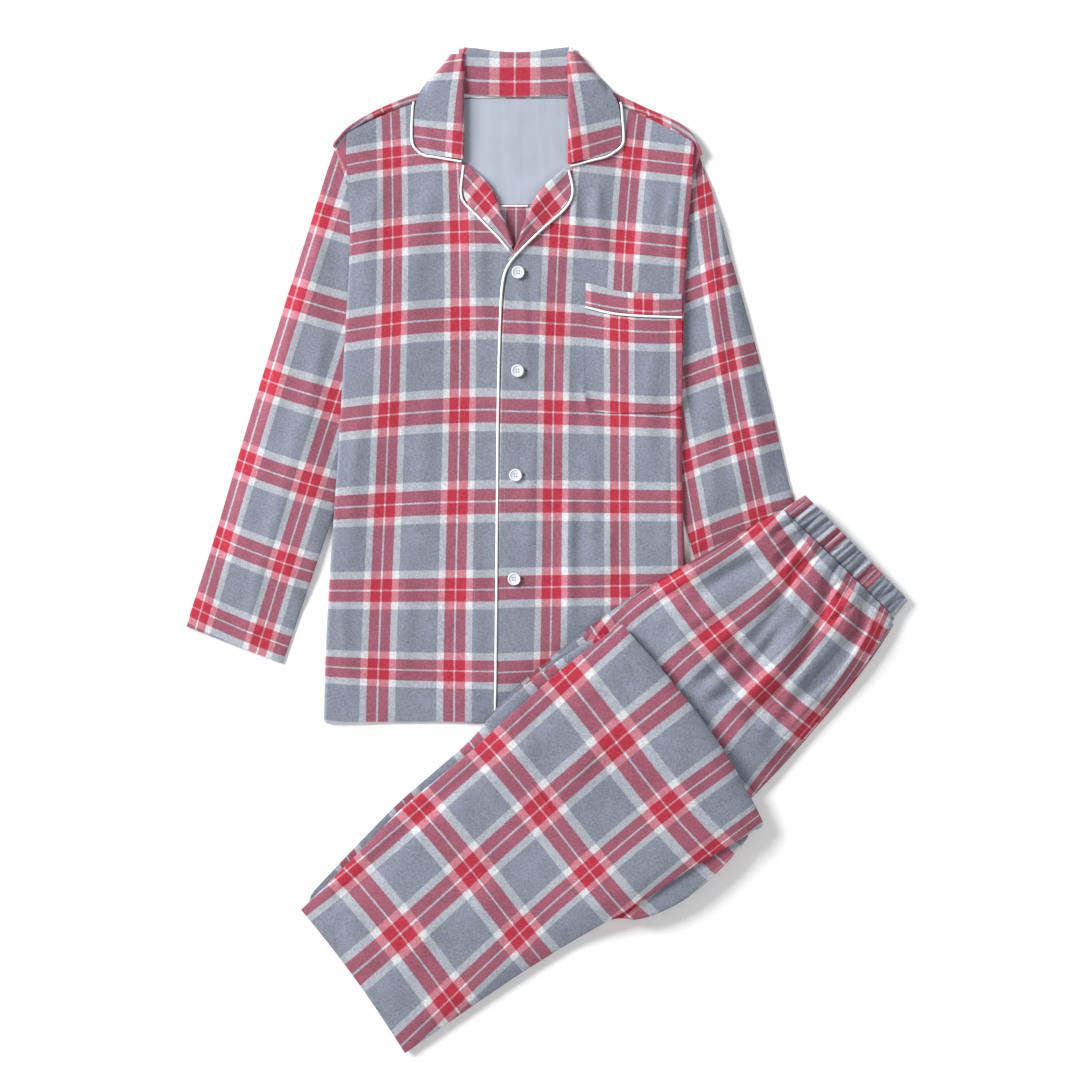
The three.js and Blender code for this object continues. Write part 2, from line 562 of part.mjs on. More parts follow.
// A shirt button: a dished disc with a raised rim and a rounded foot.
function button() {
  const [radius, height] = [BUTTON.diameter / 2, BUTTON.height];
  const profile = [[0, 0], [0.78, 0], [1, 0.5], [0.93, 1], [0.76, 0.95], [0.62, 0.66], [0, 0.62]];
  const points = profile.map(([r, z]) => new THREE.Vector2(r * radius, z * height));
  return new THREE.LatheGeometry(points, 14).rotateX(Math.PI / 2);
}

// Piping runs
const evenly = (count, point) => Array.from({ length: count + 1 }, (_, i) => point(i / count));
const onTop = (x, y) => [x, y, frontTop(x, y) + 2 * GAP + PIPING / 2];

// Along the foot of a leaf from the notch, round its corner and up its outer edge to the shoulder.
function leafPiping(rows) {
  const first = rows[0];
  const sign = Math.sign(first.edgeX);
  const foot = evenly(4, (s) => {
    const x = mix(sign * (COLLAR_HALF + 4), first.edgeX, s);
    return onTop(x, mix(first.rollY, first.edgeY, s) - PIPING / 2 - 2 * GAP);
  });
  const side = evenly(10, (s) => {
    const { edgeX, edgeY } = rowAt(rows, mix(0.09, 0.52, s));
    return onTop(edgeX, edgeY);
  });
  return cord([...foot, ...side], 26);
}

const lapelEdge = (rows) => (s) => {
  const { edgeX, edgeY } = rowAt(rows, s);
  return onTop(edgeX, edgeY);
};
const lapelPiping = () => cord(evenly(14, lapelEdge(LAPEL_RIGHT)), 24);

// Along the left lapel and on down the front edge to the hem, where it lies on the right front.
const FRONT_EDGE = table(["x", "y"],
  [-13, 519], [-16.2, 502.5], [-18.4, 462.3], [-20.7, 370.3], [-21.8, 255.3], [-23, 117.3], [-24.1, 0.6]);
function frontPiping() {
  const edge = FRONT_EDGE.map(({ x, y }) => [x, y, rightFrontZ(x, y) + CLOTH / 2 + GAP + PIPING / 2]);
  const turned = evenly(12, (s) => lapelEdge(LAPEL_LEFT)(1 - s));
  return cord([...turned, ...edge], 46);
}

const FACING_PIPING = 2.2;
const facingPiping = () =>
  cord(evenly(4, (s) => {
    const x = mix(-16.8, 13.2, s);
    return [x, NECK_FACING.foot + NECK_FACING.bow - 0.6, CLOTH + GAP + FACING_PIPING / 2];
  }), 6, FACING_PIPING);

// Trousers

const SLEEVE_OUTER = SLEEVE_LEFT.map((row) => ({ y: row.outerY, x: row.outerX }));

// The shirt's top under a place of the trousers, brought down softly to the surface past the shirt's edges.
function support(u, v) {
  const { x: atX, y: atY, turn } = TROUSERS_PLACE;
  const x = atX + u * Math.cos(turn) - v * Math.sin(turn) - SHIRT_PLACE.x;
  const y = atY + u * Math.sin(turn) + v * Math.cos(turn) - SHIRT_PLACE.y;
  const sideGap = x < 0 ? lookUp(SIDES, "y", y, "right") - x : x - lookUp(SIDES, "y", y, "left");
  const off = Math.hypot(Math.max(sideGap, 0), Math.max(-y, 0));
  const near = (distance) => 1 - ease(DRAPE.level, DRAPE.end, distance);
  const edgeX = clamp(x, lookUp(SIDES, "y", y, "right"), lookUp(SIDES, "y", y, "left"));
  const piping = PIPING * (1 - ease(20, 60, Math.abs(x - LAP.edgeX)));
  const body = (frontTop(edgeX, Math.max(y, 0)) + piping + LAYER_GAP) * near(off);
  const cuff = SLEEVE_LEFT[0];
  const [cuffX, cuffY] = [cuff.outerX - cuff.innerX, cuff.outerY - cuff.innerY];
  const cuffLength = Math.hypot(cuffX, cuffY);
  const beyondCuff = ((x - cuff.innerX) * cuffY - (y - cuff.innerY) * cuffX) / cuffLength;
  const inner = insideSleeve(x, y, SLEEVE_LEFT);
  const outer = x - lookUp(SLEEVE_OUTER, "y", y, "x");
  const sleeveOff = Math.hypot(Math.max(-inner, 0), Math.max(outer, 0), Math.max(beyondCuff, 0));
  const arm = (SLEEVE_HEIGHT + LAYER_GAP) * near(sleeveOff);
  return Math.max(larger(body, arm, 1.5) - 0.75 * (1 - ease(0, 2, Math.max(body, arm))), body, arm);
}

const hemU = (v) => 3 - 0.0004 * (v - 30) ** 2;
const foldU = (v) => 501.5 - (v > 0 ? 0.00039 : 0.00083) * v * v;
const gatherU = (v) => 741 - 0.155 * v;
const waistU = (v) => 767.5 - 0.125 * v;
const middleTop = (u) => mix(STACK.under, STACK.middleTop, ease(RAMP.low, RAMP.high, u));

function thighFold(u, v) {
  const run = gatherU(v) - u;
  let height = 0;
  for (const fold of THIGH_FOLDS) {
    const share = clamp(run / fold.length, 0, 1.2);
    const centre = fold.v + fold.lean * share;
    const width = fold.width * (1 + 0.8 * share);
    const fade = (1 - ease(0.3, 1.1, share)) * (1 - ease(0, 30, run) * 0.15);
    height += fold.height * fade * Math.exp(-(((v - centre) / width) ** 2));
  }
  return height;
}

// One ring of a stretch of leg at `u(v)`: a flattened layer between the two heights.
function legRing(above, row, u, low, high, inset = 0) {
  const [middle, half] = [(row.left + row.right) / 2, (row.left - row.right) / 2 - inset];
  const at = (w) => {
    const v = middle + w * half;
    return { u: u(v), v };
  };
  const place = (w) => [at(w).u, at(w).v];
  const seat = (w) => support(at(w).u, at(w).v) + low(at(w).u, at(w).v) + inset;
  const span = (w) => high(at(w).u, at(w).v) - low(at(w).u, at(w).v) - 2 * inset;
  const top = (w) => seat(w) + span(w) * (0.4 + 0.6 * crown(w, 3));
  const bottom = (w) => seat(w) + span(w) * 0.4 * (1 - crown(w, 8));
  return flatRing(above, 12, place, top, bottom);
}

const rowFor = (rows, u) => ({ left: lookUp(rows, "u", u, "left"), right: lookUp(rows, "u", u, "right") });

// Where rings are laid along the leg: the same for every stretch, so that the layers follow each other.
const LOWER_STATIONS = [0, 32, 64, 98, 130, 163, 192, 218, 236, 254, 272, 290, 304];
const STACKED_STATIONS = [330, 352, 380, 410, 440, 464];
const UPPER_STATIONS = [484, 506, 528, 550, 575, 600, 628, 656, 684, 710];
const LAST_MIDDLE = 478;
const onLower = (station) => (v) => mix(hemU(v), foldU(v), station / 501);
const onUpper = (station) => (v) => mix(FIRST_FOLD + 3, gatherU(v) - GAP, (station - 312) / (739 - 312));

// The round nose at the second fold: the share of the drop that its foot has risen, and its top's drop
const NOSE = table(["at", "rise", "drop"],
  [487, 0, 0.1], [494, 0.05, 1.2], [498.5, 0.14, 3.2], [500.5, 0.3, 5.2]);

// The stretch that ends in the hem: open there, and turned down in a round nose at the second fold.
function legLower() {
  const stations = [...LOWER_STATIONS, 318, ...STACKED_STATIONS, LAST_MIDDLE + 3];
  const low = (u) => middleTop(u) + STACK.upper - STACK.under;
  const high = (u) => low(u) + LEG;
  const ring = (at, inset) => legRing(12, rowFor(LEG_LOWER, at), onLower(at), low, high, inset);
  const inner = LOWER_STATIONS.map((at) => ring(at, CLOTH));
  const outer = stations.map((at) => ring(at, 0));
  const floor = STACK.middle;
  const crest = STACK.middleTop + STACK.upper - STACK.under + LEG;
  const nose = NOSE.map(({ at, rise, drop }) =>
    legRing(12, rowFor(LEG_LOWER, at), onLower(at), () => mix(floor, crest, rise), () => crest - drop));
  return loft([...inner.reverse(), ...outer, ...nose], false);
}

// The round nose at the first fold: how much thinner the leg is there, above and below
const FIRST_NOSE = table(["at", "shrink"], [313.5, 1.5], [317, 0.6], [322, 0.1]);

// The stretch that ends in the waist: closed in a round nose at the first fold, open under the waistband.
function legUpper() {
  const stations = [...STACKED_STATIONS, ...UPPER_STATIONS, 726, 739];
  const relief = (u, v) => ease(488, 530, u) * thighFold(u, v);
  const high = (u, v) => STACK.upperTop + relief(u, v);
  const ring = (at, top, inset) =>
    legRing(21, rowFor(LEG_UPPER, at), onUpper(at), () => STACK.upper, top, inset);
  const outer = stations.map((at) => ring(at, high, 0));
  const hollow = (u, v) => STACK.upperTop + 0.5 * relief(u, v);
  const inner = stations.slice(STACKED_STATIONS.length).map((at) => ring(at, hollow, CLOTH));
  const nose = FIRST_NOSE.map(({ at, shrink }) => {
    const [low, top] = [STACK.upper + shrink, STACK.upperTop - shrink];
    return legRing(21, rowFor(LEG_UPPER, at), onUpper(at), () => low, () => top);
  });
  return loft([...nose, ...outer, ...inner.reverse()], false);
}

// The layers that the two stretches hide, as one body: a run beneath the upper stretch and a run above it,
// joined round the first fold, with the layers' edges showing as lobes along both sides.
const LOBES = table(["width", "share"],
  [1, 0.1], [1, 0.24], [0, 0.33], [1, 0.42], [1, 0.57], [0, 0.66], [1, 0.75], [0.75, 0.92]);
const GROOVE = 0.024; // of half the run's width

function foldedLayers() {
  const under = [300, 312, ...STACKED_STATIONS, ...UPPER_STATIONS, 733].map((at) => {
    const place = at < 312 ? () => at : onUpper(at);
    return legRing(12, rowFor(UNDER_RUN, at), place, () => 0, () => STACK.under);
  });
  const across = 10;
  const lobed = (at) => {
    const row = rowFor(MIDDLE_RUN, at);
    const [middle, half] = [(row.left + row.right) / 2, (row.left - row.right) / 2];
    const groove = GROOVE * ease(270, 330, at) + 0.002;
    const floor = at > FIRST_FOLD ? STACK.middle : 0;
    const ring = [];
    const point = (w, share) => {
      const v = middle + w * half;
      const u = onLower(at)(v);
      ring.push([u, v, support(u, v) + mix(floor, middleTop(u), share)]);
    };
    const sides = LOBES.map(({ width, share }) => [1 - groove * (1 - width), share]);
    for (let k = 1; k < across; k++) point(-Math.cos((Math.PI * k) / across), 1);
    for (const [w, share] of [...sides].reverse()) point(w, share);
    for (let k = across - 1; k > 0; k--) point(-Math.cos((Math.PI * k) / across), 0);
    for (const [w, share] of sides) point(-w, share);
    return ring;
  };
  const over = [2, ...LOWER_STATIONS.slice(1), 308.8, 309.4, 318, ...STACKED_STATIONS, LAST_MIDDLE];
  return joined(loft(under, false), loft(over.map(lobed), false));
}

// The waistband: an elastic casing folded in half with the trousers, its upper face drawn into ridges.
function waistband() {
  const { ridges, ridgeHeight, innerRidges, wall: thick, thickness, samples } = WAIST;
  const rowsAlong = [0, 0.3, 0.7, 1];
  const across = ridges * samples;
  const level = thickness / 4;
  const ringAt = (share, inset) => {
    const ring = [];
    const [left, right] = [mix(132.5, 130.2, share), mix(-44, -38.4, share)];
    const push = (v, z) => {
      const u = mix(gatherU(v) + GAP + 0.4, waistU(v), share);
      ring.push([u, v, support(u, v) + z]);
    };
    const [from, to] = [right + inset, left - inset];
    for (let k = 0; k <= across; k++) {
      const v = mix(from, to, k / across);
      const w = (2 * k) / across - 1;
      const ridge = ridgeHeight * Math.cos(2 * Math.PI * (ridges * (k / across)) + 1.1 * Math.sin(9 * w));
      const round = crown(w, 5);
      push(v, mix(level * 2, thickness - inset + (inset ? innerRidges : 1) * ridge, round));
    }
    const plain = 12;
    for (let k = plain - 1; k > 0; k--) {
      const w = -Math.cos((Math.PI * k) / plain);
      push(mix(from, to, (w + 1) / 2), mix(level * 2, inset, crown(w, 7)));
    }
    return ring;
  };
  const outer = rowsAlong.map((share) => ringAt(share, 0));
  const inner = rowsAlong.map((share) => ringAt(share, thick));
  return loft([...outer, ...inner.reverse()], true);
}

// Materials
const finish = (color, roughness) => new THREE.MeshStandardMaterial({ color, roughness, metalness: 0 });
const FLANNEL = finish(0x9a8f9e, 0.95);
const PALE_COTTON = finish(0xb9cad6, 0.9);
const WHITE_COTTON = finish(0xf2f2f0, 0.85);
const WHITE_RESIN = finish(0xeef0f2, 0.35);

const shirt = new THREE.Group();
shirt.position.set(SHIRT_PLACE.x, SHIRT_PLACE.y, 0);
const trousers = new THREE.Group();
trousers.position.set(TROUSERS_PLACE.x, TROUSERS_PLACE.y, 0);
trousers.rotation.z = TROUSERS_PLACE.turn;

function add(group, name, geometry, material) {
  const mesh = new THREE.Mesh(geometry, material);
  mesh.name = name;
  group.add(mesh);
  return mesh;
}

add(shirt, "shirt_back", shirtBack(), FLANNEL);
add(shirt, "front_right", front(FRONT_RIGHT, rightFrontZ, 0), FLANNEL);
add(shirt, "front_left", front(FRONT_LEFT, leftFrontZ, 1.5), FLANNEL);
add(shirt, "sleeve_right", sleeve(SLEEVE_RIGHT), FLANNEL);
add(shirt, "sleeve_left", sleeve(SLEEVE_LEFT), FLANNEL);
add(shirt, "collar", collar(), FLANNEL);
add(shirt, "lapel_right", lapel(LAPEL_RIGHT, rightFrontZ), FLANNEL);
add(shirt, "lapel_left", lapel(LAPEL_LEFT, leftFrontZ), FLANNEL);
add(shirt, "neck_facing", neckFacing(), PALE_COTTON);
add(shirt, "pocket_bag", pocketBag(), FLANNEL);
add(shirt, "pocket_band", pocketBand(), FLANNEL);
BUTTON.y.forEach((y, k) => {
  const disc = add(shirt, `button_${k + 1}`, button(), WHITE_RESIN);
  disc.position.set(BUTTON.x[k], y, leftFrontZ(BUTTON.x[k], y) + CLOTH / 2 + GAP);
});

add(shirt, "piping_pocket", cord(evenly(8, (s) => {
  const x = mix(POCKET.left, POCKET.right, s);
  return onTop(x, bandFoot(x) - PIPING / 2 + 0.6);
}), 14), WHITE_COTTON);
add(shirt, "piping_collar_right", leafPiping(LEAF_RIGHT), WHITE_COTTON);
add(shirt, "piping_collar_left", leafPiping(LEAF_LEFT), WHITE_COTTON);
add(shirt, "piping_lapel_right", lapelPiping(), WHITE_COTTON);
add(shirt, "piping_front_left", frontPiping(), WHITE_COTTON);
add(shirt, "piping_neck_facing", facingPiping(), WHITE_COTTON);

add(trousers, "leg_lower", legLower(), FLANNEL);
add(trousers, "leg_upper", legUpper(), FLANNEL);
add(trousers, "folded_layers", foldedLayers(), FLANNEL);
add(trousers, "waistband", waistband(), FLANNEL);

// The set stands on the middle of its own outline.
const set = new THREE.Group();
set.add(shirt, trousers);
set.updateMatrixWorld(true);
const box = new THREE.Box3().setFromObject(set, true);
set.position.set(-(box.min.x + box.max.x) / 2, -(box.min.y + box.max.y) / 2, -box.min.z);

export default set;
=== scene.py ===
"""A plaid flannel pyjama set, laid out flat: cloth, piping and buttons over its frame, and the studio."""

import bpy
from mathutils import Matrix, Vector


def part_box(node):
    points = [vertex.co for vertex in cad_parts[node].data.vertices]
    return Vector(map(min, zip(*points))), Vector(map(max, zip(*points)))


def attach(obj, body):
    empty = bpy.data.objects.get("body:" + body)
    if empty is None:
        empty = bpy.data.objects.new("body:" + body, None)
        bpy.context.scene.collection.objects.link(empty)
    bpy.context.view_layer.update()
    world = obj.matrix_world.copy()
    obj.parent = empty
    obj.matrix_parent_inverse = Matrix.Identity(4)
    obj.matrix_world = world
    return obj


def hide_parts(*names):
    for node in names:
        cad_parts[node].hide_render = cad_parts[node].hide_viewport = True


bl_info = {
    "name": "Pyjama Set",
    "version": (1, 0, 0),
    "blender": (4, 5, 0),
    "location": "View3D > Sidebar > Pyjama Set",
    "description": "Dresses the frame of a flat-laid pyjama set in plaid flannel, piping and buttons",
    "category": "Object",
}

import math

import bmesh
import bpy
import numpy as np
from bpy.props import FloatProperty, FloatVectorProperty, PointerProperty
from mathutils import Matrix, Vector

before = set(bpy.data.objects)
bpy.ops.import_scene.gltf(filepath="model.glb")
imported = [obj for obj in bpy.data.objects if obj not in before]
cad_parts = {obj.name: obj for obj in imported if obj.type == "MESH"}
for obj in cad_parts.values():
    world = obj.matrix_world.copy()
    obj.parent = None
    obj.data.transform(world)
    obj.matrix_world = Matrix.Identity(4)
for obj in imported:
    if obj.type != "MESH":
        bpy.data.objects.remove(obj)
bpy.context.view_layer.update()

MM = 0.001

# The layout plan: a grid of 1.15 mm cells, x to the right and y down, over the whole set.
PLAN_CELL = 1.15 * MM
PLAN_ORIGIN = (546.223, 550.25)

# The trousers' own frame: u along the leg from the hem, v across it, in millimetres.
TROUSERS_ORIGIN = (-221.107, -495.363)
TROUSERS_TURN = math.radians(37.3)

# How strongly each piece takes the creases of its table, and how the layers under it fill it out. A swell is
# its height and its unevenness, in millimetres.
SHIRT_DEPTH = 1.5
SLEEVE_DEPTH = 1.6
SLEEVE_FULLNESS = 4.2 * MM
THIGH_DEPTH = 1.8
THIGH_SWELL = (7.4, 1.1)
SHIN_DEPTH = 1.4
SHIN_SWELL = (2.6, 0.7)
UNDERSIDE_DEPTH = 0.25
LOWEST_DIP = -0.3 * MM  # the legs' creases go no deeper than this below the frame's cloth

# On the plan: where the waistband's upper edge starts, its run from there, and the way its gathers point.
WAIST_CORNER = (805, 495)
WAIST_EDGE = (104, 105)
GATHER_WAY = (-0.79, 0.61)

# On the plan: a place on the trousers' edge over the shirt, and the way from there out over the shirt.
TROUSERS_LINE = (488, 718)
CLEAR_WAY = (-0.576, -0.817)

# The pieces' edges: plan x of the sleeves' outer edges at plan y, and v of the thigh's lower edge at u.
SLEEVE_RIGHT_EDGE = ([142, 200, 300, 380, 460, 540, 620], [333, 316, 284, 259, 235, 212, 187])
SLEEVE_LEFT_EDGE = ([140, 175, 230, 300, 385, 480, 633], [697, 708, 725, 745, 768, 790, 831])
THIGH_LOWER_EDGE = ([477, 540, 587, 645, 681, 708, 741], [-110, -99.3, -89, -76.1, -66.3, -57.5, -44])

# The studio, in metres: the place that the camera is straight above, and the lights' places and widths.
CAMERA_OVER = (-0.00716, 0.01179)
KEY_PLACE = (-3.2, 1.95, 2.0)
KEY_WIDTH = 2.2
FILL_PLACE = (1.6, -1.4, 2.2)
FILL_WIDTH = 2.0

# Between which angles from face to face, in degrees, an edge stays crisp when a solid is smoothed.
RIM = (70, 180)
TUBE_RIM = (72, 118)
ROUND_RIM = (80, 180)

# Sewing, in metres: half sizes of a hem stitch and its height, then the buttons' holes and thread.
STITCH_RADII = (0.00021, 0.00016)
STITCH_LIFT = 0.00005
HOLE_RADIUS = 0.00085
HOLE_OFFSET = 0.0014
THREAD_HEIGHT = 0.0011
STRAND_OFFSET = 0.00022
BUTTONHOLE_OFFSET = (0.0102, 0.0004)
BUTTONHOLE_LIFT = 0.0001

# Where the plaid's stripes run on each piece: (stripe's number, x, y) on the layout plan. "warp" stripes run
# with the body or the limb, "weft" stripes across it.
PLAIDS = {
    "front_right": {
        "warp": [
            (0, 390.8, 157.5), (0, 393.3, 194), (0, 393.7, 237), (0, 391.8, 284), (0, 391.4, 323),
            (0, 388.4, 398), (0, 387.8, 414), (0, 384.7, 508), (0, 381.9, 589), (0, 377.9, 670),
            (0, 376.3, 723), (1, 457, 162), (1, 458, 194), (1, 459.2, 230), (1, 460, 284), (1, 460.2, 317),
            (1, 459.8, 386), (1, 459, 410), (1, 456.4, 502), (1, 455.9, 590), (1, 454.6, 671),
            (1, 453.6, 723),
        ],
        "weft": [
            (0, 347, 164), (0, 390.8, 157.5), (0, 426.5, 153.9), (0, 460, 152), (1, 353, 245.7),
            (1, 392.9, 237), (1, 426.5, 232), (1, 459.2, 230.2), (1, 489.8, 232), (2, 348, 330.6),
            (2, 391.8, 322.9), (2, 426.5, 319.8), (2, 460.2, 317.3), (2, 501, 318.8), (3, 341.1, 422.7),
            (3, 387.8, 414.2), (3, 459, 410.4), (3, 499, 409.4), (4, 335.5, 507.3), (4, 384.7, 508.6),
            (4, 456.4, 502.2), (4, 498, 501.7), (5, 329, 587), (5, 381.9, 589), (5, 455.9, 590.3),
            (5, 498, 589.7), (6, 324, 668), (6, 377.9, 669.8), (6, 454.6, 671.1), (6, 498, 671.4),
        ],
    },
    "front_left": {
        "warp": [
            (0, 559, 235), (0, 556.1, 284), (0, 555.5, 322), (0, 554.7, 366), (0, 553.1, 410),
            (0, 552.9, 501), (0, 551.1, 588), (0, 549.8, 671), (1, 636.5, 113), (1, 633, 157.6),
            (1, 629.6, 202), (1, 625.9, 241), (1, 622.9, 280), (1, 619.4, 331), (1, 619.6, 386),
            (1, 619.9, 413), (1, 621, 501), (1, 619.9, 585), (2, 698, 168), (2, 691, 245), (2, 686, 331),
            (2, 686, 415), (2, 686, 502),
        ],
        "weft": [
            (0, 616.7, 155.9), (0, 633, 157.6), (0, 655, 160), (0, 684, 163.3), (0, 697, 166), (1, 545, 236),
            (1, 558.6, 235.5), (1, 570, 235.5), (1, 594, 238.8), (1, 625.9, 241.6), (1, 655.5, 244.9),
            (1, 686, 249.8), (2, 506.5, 321.8), (2, 555.5, 322.2), (2, 586, 322.4), (2, 619, 330),
            (2, 635, 331.4), (2, 680, 331.4), (3, 500, 409.4), (3, 553.1, 409.9), (3, 619.9, 413.5),
            (3, 680, 415.5), (4, 499, 501.7), (4, 552.9, 501.5), (4, 621, 501), (4, 681, 502),
            (5, 498, 589.7), (5, 551.1, 588.5), (5, 619.9, 585.2), (5, 659.5, 586), (6, 498, 671.4),
            (6, 549.8, 670.6),
        ],
    },
    "sleeve_right": {
        "warp": [
            (0, 320.7, 214.1), (0, 292.7, 298.2), (0, 269.2, 380.6), (0, 245.4, 461.2), (0, 220.1, 540),
            (0, 199.8, 610.2), (0, 196.3, 627.7), (1, 334.7, 403.4), (1, 310.2, 484), (1, 282.9, 564.6),
            (1, 261.8, 636.5),
        ],
        "weft": [
            (0, 312, 212), (0, 320.7, 214.1), (0, 345.3, 221.8), (1, 292.7, 298.2), (1, 317.2, 304.2),
            (1, 345.3, 312.3), (2, 269.2, 380.6), (2, 334.7, 403.4), (3, 245.4, 461.2), (3, 310.2, 484),
            (3, 333, 489.3), (4, 220.1, 540), (4, 282.9, 564.6), (4, 317.2, 572.3), (5, 199.8, 610.2),
            (5, 261.8, 636.5), (5, 290.9, 648.8),
        ],
    },
    "sleeve_left": {
        "warp": [
            (0, 706.5, 194), (0, 708.6, 245.8), (0, 713.9, 279.1), (0, 727.9, 361.6), (0, 743.7, 440.5),
            (0, 757.7, 514.2), (-1, 685.8, 460.5), (-1, 694.6, 544), (0, 785, 634), (-1, 720, 655),
        ],
        "weft": [
            (0, 696.3, 201.9), (0, 715.6, 187.9), (1, 687.5, 289.6), (1, 713.9, 279.1), (1, 736.7, 273.2),
            (2, 685.8, 375.6), (2, 727.9, 361.6), (2, 756, 352.8), (3, 685.8, 461.6), (3, 743.7, 440.5),
            (3, 775.3, 433.5), (4, 694.6, 544), (4, 757.7, 516), (4, 791, 507), (5, 710, 622), (5, 775, 596),
        ],
    },
    "shirt_back": {
        "warp": [(0, 516, 120), (0, 516, 720), (-2, 376, 400), (2, 656, 400)],
        "weft": [(0, 516, 118), (1, 516, 190), (2, 516, 276), (6, 516, 618), (2, 360, 276), (2, 660, 276)],
    },
    "shoulders": {
        "warp": [(0, 384, 115), (0, 390, 130), (3, 648, 110), (3, 652, 130), (-0.5, 350, 130)],
        "weft": [
            (0, 338, 146), (0, 360, 121), (0, 400, 103), (0, 630, 107), (0, 670, 120), (0, 700, 146),
            (1, 400, 24), (1, 630, 28),
        ],
    },
    "collar_right": {
        "warp": [(0, 473, 55), (0, 465.5, 105), (0, 462.5, 143), (-1, 394, 100)],
        "weft": [(0, 413.3, 135.5), (0, 463.3, 143.3), (-1, 430, 63), (-1, 464, 59.5)],
    },
    "collar_left": {
        "warp": [(0, 557, 58), (0, 567, 112), (0, 571.8, 151.4), (1, 640, 100)],
        "weft": [(0, 566.7, 152.4), (0, 622.9, 135.1), (-1, 568, 62.5), (-1, 600, 61)],
    },
    "collar_back": {
        "warp": [(0, 470, 79.5), (0, 515, 81), (0, 560, 79.5), (1, 470, -19), (1, 560, -19)],
        "weft": [(0, 515, 50), (0, 514.5, 100), (1, 625, 80), (-1, 405, 80)],
    },
    "lapel_right": {
        "warp": [(0, 464.3, 174.5), (0, 485.3, 197.8), (0, 511, 229), (1, 537, 150)],
        "weft": [(0, 473.5, 210.6), (0, 485.3, 197.8), (0, 496, 186), (1, 424, 142)],
    },
    "lapel_left": {
        "warp": [(0, 520.8, 233), (0, 545.7, 208.6), (0, 569.8, 184), (1, 594, 259)],
        "weft": [(0, 537, 196.3), (0, 545.7, 208.6), (0, 555.5, 220.8), (1, 482, 266)],
    },
    "pocket_bag": {
        "warp": [(0, 619.2, 330), (0, 619.4, 412), (1, 685, 330), (1, 685.5, 412)],
        "weft": [
            (0, 602, 328), (0, 619, 330), (0, 635, 331.4), (0, 680, 331.4), (1, 600, 411), (1, 680, 415.5),
        ],
    },
    "pocket_band": {
        "warp": [(0, 643.3, 300), (0, 643.3, 320), (1, 711, 310)],
        "weft": [(0, 588, 302.4), (0, 610, 307), (0, 635, 310.6), (0, 682, 310.6), (-1, 640, 226)],
    },
    "leg_lower": {
        "warp": [
            (0, 347.2, 871), (0, 418.6, 808.9), (0, 489.6, 746.1), (0, 565.5, 677.2), (0, 617, 629),
            (1, 399.6, 932.8), (1, 470.6, 869.2), (1, 539.5, 805.8), (1, 616, 740), (1, 666, 700),
            (2, 449.2, 999.6), (2, 521.1, 934.4), (2, 590, 871.5), (2, 666.1, 806.9), (3, 708.7, 851.8),
            (3, 640, 905),
        ],
        "weft": [
            (0, 347.2, 871), (0, 399.6, 932.8), (0, 449.2, 999.6), (1, 418.6, 808.9), (1, 470.6, 869.2),
            (1, 521.1, 934.4), (2, 489.6, 746.1), (2, 539.5, 805.8), (2, 590, 871.5), (3, 565.5, 677.2),
            (3, 616, 740), (3, 666.1, 806.9), (3, 708.7, 851.8),
        ],
    },
    "leg_upper": {
        "warp": [
            (0, 618.9, 620.3), (0, 673.6, 582.4), (0, 759.2, 522.1), (1, 665.2, 682), (1, 712.9, 633.8),
            (1, 791.5, 567.8), (2, 717.1, 740.9), (2, 762.6, 688.2), (2, 836.4, 610.5), (3, 809.7, 726.9),
            (3, 870, 637), (3, 760, 785),
        ],
        "weft": [
            (0, 673.6, 582.4), (0, 712.9, 633.8), (0, 762.6, 688.2), (0, 809.7, 726.9), (1, 759.2, 522.1),
            (1, 791.5, 567.8), (1, 836.4, 610.5), (1, 870, 637), (-1, 600, 640), (-1, 690, 760),
        ],
    },
    "under_edge": {
        "warp": [(0, 905, 606), (0, 862, 668), (0, 802, 742), (0, 750, 800), (1, 820, 572), (1, 690, 740)],
        "weft": [(0.55, 905, 606), (-0.25, 802, 742), (-0.6, 750, 800), (0.75, 820, 572), (-0.4, 690, 740)],
    },
    "folded_layers": {
        "warp": [
            (-0.2, 347, 871), (-0.2, 565, 677), (-0.2, 690, 566), (0.8, 399, 933), (0.8, 616, 740),
            (3.2, 640, 905), (3.2, 810, 727),
        ],
        "weft": [
            (0, 352, 864), (0, 399, 933), (1, 410, 818), (2, 482, 754), (3, 556, 686), (3, 666, 807),
            (4, 634, 622), (5, 712, 558), (5, 830, 690),
        ],
    },
    "waistband": {
        "warp": [(0, 833.6, 538.9), (0, 815, 555), (1, 874.3, 571.2), (1, 858, 587), (-1, 797, 508)],
        "weft": [(0.36, 805, 495), (0.36, 909, 600), (0.52, 786, 511), (0.52, 890, 614)],
    },
}

